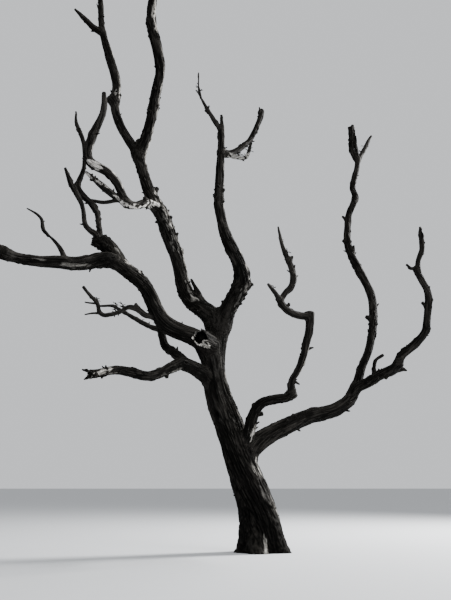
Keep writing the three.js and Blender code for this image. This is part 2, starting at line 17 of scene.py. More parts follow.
import bpy
import numpy as np
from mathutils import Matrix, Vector

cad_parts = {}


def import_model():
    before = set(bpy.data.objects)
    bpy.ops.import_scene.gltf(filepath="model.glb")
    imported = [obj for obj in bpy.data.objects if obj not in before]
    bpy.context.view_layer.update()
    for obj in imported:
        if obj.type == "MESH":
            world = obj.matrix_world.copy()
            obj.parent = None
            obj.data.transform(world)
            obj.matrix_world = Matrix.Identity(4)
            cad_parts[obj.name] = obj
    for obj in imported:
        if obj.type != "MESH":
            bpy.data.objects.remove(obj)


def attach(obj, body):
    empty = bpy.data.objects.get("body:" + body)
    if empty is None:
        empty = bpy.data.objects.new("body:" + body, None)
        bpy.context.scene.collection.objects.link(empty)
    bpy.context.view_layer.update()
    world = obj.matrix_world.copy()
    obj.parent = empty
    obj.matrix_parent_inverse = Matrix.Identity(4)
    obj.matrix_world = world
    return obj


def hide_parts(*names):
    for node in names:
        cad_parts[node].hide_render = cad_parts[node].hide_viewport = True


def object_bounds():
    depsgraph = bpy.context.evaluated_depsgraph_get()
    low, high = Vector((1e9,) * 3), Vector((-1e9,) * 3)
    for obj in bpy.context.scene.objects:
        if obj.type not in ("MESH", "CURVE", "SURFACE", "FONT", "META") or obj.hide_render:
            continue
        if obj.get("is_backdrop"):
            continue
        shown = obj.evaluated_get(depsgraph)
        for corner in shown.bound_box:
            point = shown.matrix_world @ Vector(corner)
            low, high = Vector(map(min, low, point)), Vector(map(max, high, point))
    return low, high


log = logging.getLogger("dead_tree")

Triple = tuple[float, float, float]
Colour = Triple
Grid = tuple[float, float]
Way = tuple[tuple[float, float], ...]

WHITE: Colour = (1.0, 1.0, 1.0)

# Where the viewer's eye is, and the way that the front of the tree faces.
VIEWER = np.array((-0.8, -17.8, 1.35))
FRONT = np.array((0.0, -1.0, 0.0))

# A limb sways in depth by this share of its length.
WANDER = 0.03

# How finely a limb is searched for the foot of what it carries, how many points a course has for
# each leg, and over which share of it to each side a heading is taken.
FOOT_SAMPLES = 200
LINE_SAMPLES = 48
HEADING_REACH = 0.02

# The seeded numbers are worked out in words of 32 bits.
WORD = 0xFFFFFFFF

# The noise deals its directions from a table of this size, and is scaled to run from -1 to 1.
NOISE_TABLE = 256
NOISE_MASK = NOISE_TABLE - 1
NOISE_GAIN = 1.7

# How far apart the points of a skin lie, in metres: round the limb, and along it.
LIMB_GRID: Grid = (0.0078, 0.0155)
SPRIG_GRID: Grid = (0.006, 0.01)
SHOOT_GRID: Grid = (0.0052, 0.012)
TIP_GRID: Grid = (0.0052, 0.008)
STUB_GRID: Grid = (0.0052, 0.006)

# The fewest and the most points that a ring has.
RING_SIZES = (9, 260)

# How far a rounded join reaches, in its own widths, and how often the skin is moved towards it.
JOIN_REACH = 1.3
JOIN_PASSES = 4

# The rings of a broken end, from the limb to the bottom of its hollow: how far each rises with the
# ragged lip, how wide it is, and how far it is pushed out, in radii of the limb's tip.
LIP_RISE = np.array((0.25, 0.5, 0.75, 1.0, 1.0, 0.9, 0.6, 0.2, 0.0, 0.0, 0.0, 0.0))
LIP_WIDTH = np.array((1.0, 1.0, 0.985, 0.955, 0.91, 0.86, 0.82, 0.79, 0.76, 0.7, 0.5, 0.22))
LIP_PUSH = np.array((0.0, 0.0, 0.0, 0.0, -0.02, -0.05, -0.1, -0.3, -0.7, -1.1, -1.4, -1.5))

# How many rings round off a whole end.
TIP_RINGS = 6

# A stout limb's radius and the width of its joins. The strands of its wood are this many cells of
# noise a metre. On thinner wood they are finer and shallower, by these powers of its size.
STOUT_RADIUS = 0.3
STOUT_JOIN = 0.19
STRANDS = 17.0
FINE_POWER = 0.45
DEPTH_POWER = 0.8

# How many seeded knots a metre of limb has, and a metre of one whose radius is at most THIN.
KNOTS = 0.9
KNOTS_ON_THIN = 2.0
THIN = 0.04

# Between which shares of a limb its seeded stubs stand. The most that a stub is long, in metres,
# and broad, in radii of the limb: on a limb, and on a burr.
STUB_SHARES = (0.15, 0.93)
STUB_SIZE = (0.075, 0.3)
BURR_SIZE = (0.045, 0.55)


class Wood(Enum):
    """The states of the wood that a limb is made of."""

    BARK = "bark"
    PALE = "pale"
    TWIG = "twig"


class Seed(IntEnum):
    """Where the seeds of each kind of detail start."""

    BROAD = 11
    STRAND = 12
    RIFT = 13
    GRIT = 14
    TWIGLETS = 80
    STEM_SHOOTS = 150
    SHOOTS = 300
    KNOTS = 500
    STUB_SKINS = 700
    STUBS = 900
    TIPS = 1000


@dataclass(frozen=True)
class Sprig:
    """A short stub or spike fused to a limb: its way and thickness as seen from in front."""

    way: Way
    thick: tuple[float, ...]


@dataclass(frozen=True)
class Route:
    """How one limb runs.

    `way` holds distances across and up on the upright plane through the trunk's foot, as the
    viewer sees them. `thick` and `back` are thicknesses and depths behind that plane, spread
    evenly from foot to tip. `on` names the limb that carries it, and `twiglets` is how many
    seeded shoots a spray's stem has.
    """

    name: str
    way: Way
    thick: tuple[float, ...]
    back: tuple[float, ...]
    wood: Wood = Wood.BARK
    on: str = ""
    broken: bool = False
    twiglets: int = 0
    sprigs: tuple[Sprig, ...] = ()


@dataclass(frozen=True)
class Knot:
    """A swelling that the grain runs round, at a place along and round a limb.

    It is as long as its size over `squash`, and `hollow` is how deep its middle is and how much
    painted shade darkens it.
    """

    along: float
    angle: float
    size: float
    height: float = 0.0
    hollow: float = 0.0
    squash: float = 0.55


@dataclass(frozen=True)
class BleachAndRimLight:
    """A strip of bare pale wood along a limb, from `start` to `end` metres from its foot.

    Its middle lies on the side that `facing` points to, and `width` is its breadth in metres.
    `mottle` is about the share of it that stays dark in patches. On edges that face right, where
    the lamps fall, a strip is partly a painted sunlit rim.
    """

    limb: str
    start: float
    end: float
    facing: Triple
    width: float
    strength: float = 0.9
    mottle: float = 0.3


@dataclass(frozen=True)
class Scar:
    """A knot at a set place: `along` metres from a limb's foot, on the side `facing` points to."""

    limb: str
    along: float
    facing: Triple
    size: float
    height: float
    hollow: float
    squash: float = 0.55


@dataclass(frozen=True)
class Burr:
    """A stretch of a limb, in metres from its foot, that is rough with the stumps of shoots."""

    limb: str
    start: float
    end: float
    count: int


@dataclass(frozen=True)
class Weathering:
    """How deeply wood is worn.

    Lumps and flutes are shares of the radius, and the rest is in metres. `twist` is how far the
    grain winds round a limb, in radians a metre.
    """

    lump: float
    flute: float
    strand: float
    crack: float
    grit: float
    twist: float
    flakes: float
    tatter: float
    paleness: float


WEATHERING = {
    Wood.BARK: Weathering(lump=0.08, flute=0.075, strand=0.019, crack=0.03, grit=0.0035,
                          twist=0.42, flakes=0.009, tatter=0.024, paleness=0.0),
    Wood.PALE: Weathering(lump=0.12, flute=0.1, strand=0.012, crack=0.016, grit=0.002,
                          twist=0.9, flakes=0.0, tatter=0.012, paleness=0.006),
    Wood.TWIG: Weathering(lump=0.16, flute=0.07, strand=0.005, crack=0.003, grit=0.0012,
                          twist=0.8, flakes=0.0, tatter=0.008, paleness=0.012),
}


def seeded_numbers(seed: int) -> Iterator[float]:
    """A repeatable run of numbers from 0 to 1.

    Args:
        seed: Which run to give.

    Returns:
        An endless iterator.
    """
    state = (seed + 1) * 2654435761 & WORD
    while True:
        state = (state ^ state >> 15) * (state | 1) & WORD
        state ^= state + (state ^ state >> 7) * (state | 61) & WORD
        yield (state ^ state >> 14) / 2**32


def spread(values: Sequence[float], shares: np.ndarray | float) -> np.ndarray:
    """The values at shares of the way along a list of values spread evenly.

    Args:
        values: The list, from foot to tip.
        shares: Places from 0 to 1.

    Returns:
        The values in between, joined by straight lines.
    """
    return np.interp(shares, np.linspace(0.0, 1.0, len(values)), values)


def nearness(back: np.ndarray | float) -> np.ndarray | float:
    """How much larger a thing is than it looks on the trunk's plane, `back` behind it."""
    return 1.0 - np.asarray(back) / VIEWER[1]


def place(across: float, up: float, back: np.ndarray | float) -> np.ndarray:
    """The point seen at (across, up) that lies `back` behind the trunk's plane.

    It lies on the line of sight: the viewer's place plus the way to the plane times nearness.
    There is a point for each depth in `back`.
    """
    scale = np.asarray(nearness(back))[..., None]
    return VIEWER + (np.array((across, 0.0, up)) - VIEWER) * scale


def smooth_step(low: float, high: float, values: np.ndarray) -> np.ndarray:
    """Rises from 0 at low to 1 at high with no corner: 3x^2 - 2x^3 of the clipped share."""
    share = np.clip((values - low) / (high - low), 0.0, 1.0)
    return share * share * (3.0 - 2.0 * share)


def unit(vectors: np.ndarray) -> np.ndarray:
    """The vectors at length 1, along their last axis."""
    return vectors / np.maximum(np.linalg.norm(vectors, axis=-1, keepdims=True), 1e-9)


def bell(values: np.ndarray) -> np.ndarray:
    """A bell: 1 at 0, falling to both sides as e to the power of minus the square."""
    return np.exp(-(values**2))


def ridged(noise: np.ndarray) -> np.ndarray:
    """Noise folded at its zeros into sharp ridges: 1 less 2.2 times its size."""
    return 1.0 - 2.2 * np.abs(noise)


def half_turn(angles: np.ndarray) -> np.ndarray:
    """The same angles from half a turn back to half a turn on."""
    return (angles + math.pi) % math.tau - math.pi


def on_tube(angle: np.ndarray, radius: np.ndarray | float, height: np.ndarray) -> np.ndarray:
    """The points on an upright tube: the cosine and sine times the radius, and the height."""
    return np.stack([np.cos(angle) * radius, np.sin(angle) * radius, height], -1)


class Noise:
    """Smooth repeatable noise in space, worked out on whole arrays.

    Each corner of a cube of side 1 has a seeded direction. A point's value blends, over the eight
    corners round it, how far it lies along the corner's direction.
    """

    def __init__(self, seed: int) -> None:
        """Deals out the corners' directions.

        Args:
            seed: Which noise to make.
        """
        dealer = np.random.default_rng(seed)
        self._order = dealer.permutation(NOISE_TABLE)
        self._directions = unit(dealer.normal(size=(NOISE_TABLE, 3))).astype(np.float32)

    def __call__(self, points: np.ndarray) -> np.ndarray:
        """The noise at points, from about -1 to 1.

        Args:
            points: An array whose last axis holds x, y and z.

        Returns:
            One value for each point.
        """
        cell, inside = self._cells(points)
        ease = inside**3 * (inside * (inside * 6.0 - 15.0) + 10.0)
        total = np.zeros(points.shape[:-1], np.float32)
        for corner in itertools.product((0, 1), repeat=3):
            direction = self._dealt(cell + corner)
            weight = np.prod(np.where(corner, ease, 1.0 - ease), axis=-1)
            total += weight * ((inside - np.float32(corner)) * direction).sum(axis=-1)
        return total * NOISE_GAIN

    def borders(self, points: np.ndarray) -> np.ndarray:
        """How far points lie from the borders between seeded cells.

        Each cube of side 1 holds one seeded point. The distance to the second nearest one, less
        the distance to the nearest, is 0 on a border.

        Args:
            points: An array whose last axis holds x, y and z.

        Returns:
            One value for each point.
        """
        cell, inside = self._cells(points)
        nearest = np.full(points.shape[:-1], 9.0, np.float32)
        second = nearest.copy()
        for step in itertools.product((-1, 0, 1), repeat=3):
            held = self._dealt(cell + step) * 0.45 + 0.5
            far = np.linalg.norm(held + np.float32(step) - inside, axis=-1)
            second = np.minimum(second, np.maximum(nearest, far))
            nearest = np.minimum(nearest, far)
        return second - nearest

    def _cells(self, points: np.ndarray) -> tuple[np.ndarray, np.ndarray]:
        """The lowest corner of the cube that each point is in, and the point's place in it."""
        cell = np.floor(points).astype(np.int64)
        return cell, (points - cell).astype(np.float32)

    def _dealt(self, corners: np.ndarray) -> np.ndarray:
        """The seeded direction of each corner.

        Args:
            corners: Whole numbers, whose last axis holds x, y and z.

        Returns:
            One direction for each corner.
        """
        at = corners & NOISE_MASK
        row = self._order[(self._order[at[..., 0]] + at[..., 1]) & NOISE_MASK]
        return self._directions[self._order[(row + at[..., 2]) & NOISE_MASK]]


@dataclass
class Course:
    """A smooth line through points, measured along its length."""

    points: np.ndarray
    line: np.ndarray = field(init=False)
    shares: np.ndarray = field(init=False)
    length: float = field(init=False)

    def __post_init__(self) -> None:
        """Works out the line: a cubic from each point to the next, finely sampled.

        A cubic leaves and arrives along slopes that blend the legs on both sides of a point, each
        weighed by the root of its length.
        """
        given = self.points
        ends = np.vstack([2 * given[0] - given[1], given, 2 * given[-1] - given[-2]])
        before, start, stop, after = ends[:-3], ends[1:-2], ends[2:-1], ends[3:]
        first, middle, last = (np.sqrt(np.linalg.norm(far - near, axis=1))[:, None]
                               for near, far in ((before, start), (start, stop), (stop, after)))
        leave = ((start - before) / first - (stop - before) / (first + middle)) * middle
        leave += stop - start
        arrive = ((after - stop) / last - (after - start) / (middle + last)) * middle
        arrive += stop - start
        way = np.linspace(0.0, 1.0, LINE_SAMPLES, endpoint=False)[None, :, None]
        curve = start[:, None] + leave[:, None] * way
        curve = curve + (3 * (stop - start) - 2 * leave - arrive)[:, None] * way**2
        curve = curve + (2 * (start - stop) + leave + arrive)[:, None] * way**3
        self.line = np.vstack([curve.reshape(-1, 3), given[-1]])
        legs = np.linalg.norm(np.diff(self.line, axis=0), axis=1)
        reached = np.concatenate([[0.0], np.cumsum(legs)])
        self.length = float(reached[-1])
        self.shares = reached / self.length

    def at(self, shares: np.ndarray | float) -> np.ndarray:
        """The points at shares of the length."""
        return np.stack([np.interp(shares, self.shares, self.line[:, i]) for i in range(3)], -1)

    def share_nearest(self, point: np.ndarray) -> float:
        """The share of the length at which the line comes nearest to a point."""
        return self.shares[int(np.linalg.norm(self.line - point, axis=1).argmin())]

    def headings(self, shares: np.ndarray) -> np.ndarray:
        """The directions in which the line runs there, over a short stretch round each share."""
        ahead = self.at(np.minimum(shares + HEADING_REACH, 1.0))
        return unit(ahead - self.at(np.maximum(shares - HEADING_REACH, 0.0)))

    def frames(self, shares: np.ndarray) -> tuple[np.ndarray, np.ndarray, np.ndarray]:
        """Square frames along the line that turn as little as they can.

        Args:
            shares: Rising places along the line.

        Returns:
            The headings, the directions of angle 0, and those of angle 90 degrees. Angle 0
            starts on the front.
        """
        headings = self.headings(shares)
        zero = np.empty_like(headings)
        side = FRONT
        for i, heading in enumerate(headings):
            side = unit(side - heading * side.dot(heading))
            zero[i] = side
        return headings, zero, np.cross(headings, zero)


@dataclass(frozen=True)
class Flare:
    """How a trunk swells towards the ground into buttresses, which run on up it as flutes."""

    reach: float = 0.42
    height: float = 0.3
    buttresses: int = 5
    broad_flutes: int = 3
    twist: float = 0.42
    depth: float = 0.05

    def widening(self, height: np.ndarray, angle: np.ndarray) -> np.ndarray:
        """How much wider the trunk is at a height and an angle.

        One, plus a share that falls off with height and rises and falls at each buttress, plus
        the flutes. They are the buttresses' wave and three broader ones, wound round the trunk.

        Args:
            height: Heights above the ground.
            angle: Angles round the trunk.

        Returns:
            What the radius is multiplied by.
        """
        up = np.maximum(height, 0.0)
        lobe, broad = self.waves(up, angle)
        swell = self.reach * np.exp(-up / self.height) * (0.68 + 0.32 * lobe)
        return 1.0 + swell + self.depth * (lobe + 0.6 * broad)

    def waves(self, height: np.ndarray, angle: np.ndarray) -> tuple[np.ndarray, np.ndarray]:
        """The buttresses' wave and the broader one, each from -1 in its furrows to 1."""
        turned = angle + self.twist * height
        return np.cos(self.buttresses * turned + 0.9), np.cos(self.broad_flutes * turned + 2.2)


@dataclass(frozen=True)
class Growth:
    """How a stem's shoots grow: how many, their mean length and their thickness.

    They stand on the stem from its share `first` on, over a share `span` of it.
    """

    count: int
    reach: float = 0.3
    thick: tuple[float, float] = (0.035, 0.015)
    fine: bool = False
    first: float = 0.3
    span: float = 0.55


@dataclass
class Limb:
    """One tapering limb: its course through space and how thick it is.

    `number` is its seed, and `blend` is how wide the rounded join at its foot is, in radii.
    """

    name: str
    number: int
    course: Course
    thick: tuple[float, ...]
    depths: tuple[float, ...]
    wood: Wood
    carrier: Limb | None = None
    broken: bool = False
    twiglets: int = 0
    flare: Flare | None = None
    blend: float = 0.62

    def radius(self, shares: np.ndarray | float) -> np.ndarray:
        """Half the thickness at shares of the length."""
        return spread(self.thick, shares) * nearness(spread(self.depths, shares)) / 2.0

    def girth(self, shares: np.ndarray) -> np.ndarray:
        """The radius of the skin: the limb's, drawn in over the stretch inside its carrier.

        Args:
            shares: Places from 0 to 1.

        Returns:
            The radius at each place.
        """
        if self.carrier is None:
            return self.radius(shares)
        foot = max(float(self.radius(0.0)), 0.005)
        drawn_in = 0.7 + 0.3 * smooth_step(0.0, foot, shares * self.course.length)
        return self.radius(shares) * drawn_in

    def collar(self) -> float:
        """How wide the rounded join is where the limb leaves its carrier."""
        return self.blend * float(self.radius(0.0))

    def ground_share(self) -> float:
        """The share of the length at which the middle line rises out of the ground."""
        return float(np.interp(0.0, self.course.line[:, 2], self.course.shares))

    def near(self, points: np.ndarray, margin: float) -> np.ndarray:
        """Which points may lie within a margin of the limb's surface.

        Args:
            points: An array of n points.
            margin: The margin in metres.

        Returns:
            The indices of those points.
        """
        steps = max(4, int(self.course.length / 0.25))
        line = self.course.at(np.linspace(0.0, 1.0, steps + 1))
        reach = float(self.radius(0.0)) + margin + 0.5 * self.course.length / steps
        low, high = line.min(0) - reach, line.max(0) + reach
        inside = np.flatnonzero(((points > low) & (points < high)).all(1))
        if not len(inside):
            return inside
        apart = np.linalg.norm(points[inside][:, None] - line[None], axis=2).min(1)
        return inside[apart < reach]

    def clearance(self, points: np.ndarray) -> tuple[np.ndarray, np.ndarray]:
        """How far points lie outside the limb.

        The distance to the nearest place on the middle line, less the radius there.

        Args:
            points: An array of n points.

        Returns:
            The distances, and the directions straight out.
        """
        steps = max(8, int(self.course.length / 0.02))
        shares = np.linspace(0.0, 1.0, steps)
        line = self.course.at(shares)
        half = self.course.length / steps / 2.0
        heading, zero, ninety = self.course.frames(shares)
        squares = (points**2).sum(1)[:, None] + (line**2).sum(1)[None] - 2.0 * points @ line.T
        nearest = squares.argmin(axis=1)
        apart = points - line[nearest]
        slide = np.clip((apart * heading[nearest]).sum(1), -half, half)
        apart = apart - heading[nearest] * slide[:, None]
        radius = self.girth(shares)[nearest]
        if self.flare:
            angle = np.arctan2((apart * ninety[nearest]).sum(1), (apart * zero[nearest]).sum(1))
            radius = radius * self.flare.widening(line[nearest, 2], angle)
        return np.linalg.norm(apart, axis=1) - radius, unit(apart)

    def shared_grain(self, other: Limb) -> np.ndarray:
        """The direction of the grain where another limb leaves this one: between their headings.

        Args:
            other: The limb that leaves this one.

        Returns:
            The direction, at length 1.
        """
        share = self.course.share_nearest(other.course.at(0.0))
        own = self.course.headings(np.array([share]))[0]
        their = other.course.headings(np.array([0.05]))[0]
        return unit(own + their)

    def nearest_share(self, across: float, up: float) -> float:
        """The share of the length that is seen nearest to a place.

        Args:
            across: How far to the right the place is seen on the trunk's plane.
            up: How high it is seen there.

        Returns:
            The share, from 0 to 1.
        """
        shares = np.linspace(0.0, 1.0, FOOT_SAMPLES + 1)
        line = self.course.at(shares)
        seen = place(across, up, line[:, 1])
        return float(shares[np.linalg.norm(seen - line, axis=1).argmin()])

    def angle_of(self, way: np.ndarray | Triple, share: float) -> float:
        """The angle round the limb, from its front, that `way` points to at a share of it."""
        _, zero, ninety = self.course.frames(np.linspace(0.0, share, 40))
        return math.atan2(ninety[-1] @ way, zero[-1] @ way)


def lay_limb(route: Route | Sprig, number: int, carrier: Limb | None) -> Limb:
    """Lays a route out in space.

    A limb starts on its carrier's middle line. Its depth runs from there through `back`, with a
    seeded sway that grows towards the tip. A sprig keeps the depth of its foot.

    Args:
        route: The limb's or the sprig's route.
        number: Its seed.
        carrier: The limb that carries it, or None for the trunk.

    Returns:
        The limb.
    """
    steps = np.linalg.norm(np.diff(np.array(route.way), axis=0), axis=1)
    length = float(steps.sum())
    shares = np.concatenate([[0.0], np.cumsum(steps)]) / length
    numbers = seeded_numbers(number)
    turns = 1.2 + next(numbers)
    phase = next(numbers) * math.tau
    back = route.back if isinstance(route, Route) else ()
    foot = carrier.course.at(carrier.nearest_share(*route.way[0])) if carrier else None
    depths = back if foot is None else (float(foot[1]), *(back or (float(foot[1]),)))
    sway = WANDER * length if carrier and back else 0.0
    swing = np.sin(shares * turns * math.tau + phase) * sway * shares
    reach = spread(depths, shares) + swing
    points = np.array([place(*seen, depth) for seen, depth in zip(route.way, reach)])
    if foot is not None:
        points[0] = foot
    if isinstance(route, Sprig):
        return Limb(f"{carrier.name}_sprig_{number}", number, Course(points), route.thick, depths,
                    carrier.wood, carrier)
    return Limb(route.name, number, Course(points), route.thick, depths, route.wood, carrier,
                route.broken, route.twiglets)


def lay_shoots(stem: Limb, growth: Growth, seed: int) -> list[Limb]:
    """Seeded shoots off a stem, to one side and the other in turn.

    Args:
        stem: What carries them.
        growth: How many there are, how long and how thick.
        seed: Which run of numbers to use.

    Returns:
        The shoots.
    """
    numbers = seeded_numbers(seed)
    shoots = []
    for i in range(growth.count):
        share = growth.first + growth.span * (i + next(numbers) * 0.6) / growth.count
        foot = stem.course.at(share)
        heading = stem.course.headings(np.array([share]))[0]
        turn = -1.0 if i % 2 else 1.0
        side = np.array((next(numbers) * 0.3 - 0.15, turn, 0.25 + next(numbers) * 0.5))
        if growth.fine:
            level = unit(np.cross(heading, (0.3, 0.2, 1.0)))
            rise = np.cross(level, heading)
            side = level * turn + rise * (side[2] * 2.0 - 1.0) + heading * side[0]
        heading = unit(heading * 0.5 + side)
        reach = growth.reach * (0.7 + next(numbers) * 0.6)
        tip = foot + heading * reach
        bend = (foot + tip) / 2.0 + np.array((0.0, 0.0, reach * 0.1))
        points = [foot, bend, tip]
        if growth.fine:
            kink = np.array([next(numbers) - 0.5 for _ in range(6)]).reshape(2, 3) * reach * 0.24
            points = [foot, (foot + bend) / 2.0 + kink[0], bend, (bend + tip) / 2.0 + kink[1], tip]
        shoots.append(Limb(f"{stem.name}_{i}", seed + i, Course(np.array(points)), growth.thick,
                           (0.0, 0.0), stem.wood, stem))
    return shoots


def add_object(name: str, data: bpy.types.ID) -> bpy.types.Object:
    """Adds an object to the scene for a mesh, a light or a camera."""
    thing = bpy.data.objects.new(name, data)
    bpy.context.scene.collection.objects.link(thing)
    return thing


@dataclass
class Skin:
    """A closed skin: its corners, its faces, and what the materials read at each corner."""

    points: np.ndarray
    quads: np.ndarray
    fans: np.ndarray
    grain: np.ndarray
    relief_shade: np.ndarray
    pale: np.ndarray

    @classmethod
    def of_rings(cls, rings: np.ndarray, grain: np.ndarray, relief_shade: np.ndarray,
                 pale: np.ndarray) -> Skin:
        """Joins rings of points into a skin, closed at each end by a fan round the ring's middle.

        Args:
            rings: Points by ring and by place round it, ordered round the heading.
            grain: The place in the grain of each point.
            relief_shade: The painted shade of each point, dark in its furrows.
            pale: The paleness of each point.

        Returns:
            The skin, with its faces outward.
        """
        count, around = rings.shape[:2]
        index = np.arange(count * around).reshape(count, around)
        beside = np.roll(index, -1, axis=1)
        quads = np.stack([index[:-1], beside[:-1], beside[1:], index[1:]], axis=-1)
        first, last = count * around, count * around + 1
        fans = np.vstack([
            np.stack([np.full(around, first), beside[0], index[0]], axis=-1),
            np.stack([np.full(around, last), index[-1], beside[-1]], axis=-1),
        ])
        ends = grain[[0, -1]].mean(axis=1)
        return cls(
            np.vstack([rings.reshape(-1, 3), rings[0].mean(axis=0), rings[-1].mean(axis=0)]),
            quads.reshape(-1, 4),
            fans,
            np.vstack([grain.reshape(-1, 3), ends]),
            np.concatenate([relief_shade.ravel(), relief_shade[[0, -1]].mean(axis=1)]),
            np.concatenate([pale.ravel(), pale[[0, -1]].mean(axis=1)]),
        )

    @classmethod
    def joined(cls, skins: Sequence[Skin]) -> Skin:
        """One skin that holds several.

        Args:
            skins: The skins.

        Returns:
            The skin that holds them, in their order.
        """
        starts = np.concatenate([[0], np.cumsum([len(skin.points) for skin in skins])])
        return cls(
            np.vstack([skin.points for skin in skins]),
            np.vstack([skin.quads + start for skin, start in zip(skins, starts)]),
            np.vstack([skin.fans + start for skin, start in zip(skins, starts)]),
            np.vstack([skin.grain for skin in skins]),
            np.concatenate([skin.relief_shade for skin in skins]),
            np.concatenate([skin.pale for skin in skins]),
        )

    def to_object(self, name: str, material: bpy.types.Material) -> bpy.types.Object:
        """Makes a smooth-shaded mesh object of the skin.

        Args:
            name: The object's name.
            material: Its finish.

        Returns:
            The object, at the origin.
        """
        mesh = bpy.data.meshes.new(name)
        corners = np.concatenate([self.quads.ravel(), self.fans.ravel()]).astype(np.int32)
        sizes = np.concatenate([np.full(len(self.quads), 4), np.full(len(self.fans), 3)])
        mesh.vertices.add(len(self.points))
        mesh.vertices.foreach_set("co", self.points.astype(np.float32).ravel())
        mesh.loops.add(len(corners))
        mesh.loops.foreach_set("vertex_index", corners)
        mesh.polygons.add(len(sizes))
        starts = np.concatenate([[0], np.cumsum(sizes)[:-1]]).astype(np.int32)
        mesh.polygons.foreach_set("loop_start", starts)
        mesh.update(calc_edges=True)
        grain = mesh.attributes.new("grain", "FLOAT_VECTOR", "POINT")
        grain.data.foreach_set("vector", self.grain.astype(np.float32).ravel())
        for label, values in (("relief_shade", self.relief_shade), ("pale", self.pale)):
            layer = mesh.attributes.new(label, "FLOAT", "POINT")
            layer.data.foreach_set("value", values.astype(np.float32))
        mesh.polygons.foreach_set("use_smooth", np.ones(len(sizes), bool))
        mesh.materials.append(material)
        mesh.validate()
        return add_object(name, mesh)


@dataclass
class Surface:
    """A limb's skin while it is worked: rings of points, and where each lies on the limb.

    `angle` is counted from the front, and `along` from the foot. `amount` is 1 on the limb and
    falls over its end, where `lip` is how far a ring rises with the ragged lip. `seam` is 1 where
    two limbs meet, `join` is how wide that join is, and `shared` is the direction of the grain
    there.
    """

    points: np.ndarray
    outward: np.ndarray
    zero: np.ndarray
    ninety: np.ndarray
    along: np.ndarray
    angle: np.ndarray
    radius: np.ndarray
    amount: np.ndarray
    lip: np.ndarray
    seam: np.ndarray = field(init=False)
    join: np.ndarray = field(init=False)
    shared: np.ndarray = field(init=False)

    def __post_init__(self) -> None:
        """Starts with no joins."""
        self.seam = np.zeros(self.angle.shape)
        self.join = np.full(self.angle.shape, 0.02)
        self.shared = np.broadcast_to(FRONT, self.points.shape).copy()


@dataclass(frozen=True)
class Grain:
    """Where the points of a skin lie in the grain, on a tube of the limb's thickness.

    `circle` holds the cosine and the sine of the angle in the grain, and `shift` sets the limbs
    apart, so that no two have the same wood.
    """

    circle: np.ndarray
    radius: np.ndarray
    along: np.ndarray
    shift: float

    def places(self, across: np.ndarray, along: np.ndarray) -> np.ndarray:
        """Places with `across` as x and y, and `along` with the limb's shift as z."""
        return np.concatenate([across, (along + self.shift)[..., None]], -1)

    def fluted(self, noise: Noise, turns: float, length: float, offset: float) -> np.ndarray:
        """Noise that is `turns` fine round the limb and `length` fine along it."""
        return noise(self.places(self.circle * turns + offset, self.along * length))

    def stranded(self, noise: Noise, fine: float, stretch: float, offset: float) -> np.ndarray:
        """Noise of `fine` cells a metre across the grain, `stretch` as fine along it."""
        across = self.circle * (self.radius * fine)[..., None] + offset
        return noise(self.places(across, self.along * fine * stretch))


@dataclass
class Tree:
    """The limbs laid out in space, and which of them grow together."""

    limbs: dict[str, Limb] = field(default_factory=dict)
    order: list[Limb] = field(default_factory=list)

    def plant(self, route: Route) -> Limb:
        """Lays a limb and its sprigs, and lists them in the order in which they are planted.

        Args:
            route: The limb's route.

        Returns:
            The limb.
        """
        limb = lay_limb(route, len(self.limbs), self.limbs.get(route.on))
        self.limbs[route.name] = limb
        self.order.append(limb)
        for i, sprig in enumerate(route.sprigs):
            self.order.append(lay_limb(sprig, limb.number + i, limb))
        return limb

    def carried(self, limb: Limb) -> list[Limb]:
        """The limbs and sprigs that grow out of a limb."""
        return [other for other in self.order if other.carrier is limb]

    def kin(self, limb: Limb) -> list[Limb]:
        """The limbs that may touch a limb, in the order in which they were planted.

        They are what carries it, what carries that, all that any of the three carries, and what
        grows out of the limbs that it carries.

        Args:
            limb: The limb.

        Returns:
            The other limbs.
        """
        near = [limb, limb.carrier, limb.carrier.carrier if limb.carrier else None]
        near = [one for one in near if one is not None]
        return [
            other for other in self.order
            if other is not limb and (
                other in near or other.carrier in near
                or other.carrier is not None and other.carrier.carrier is limb
            )
        ]


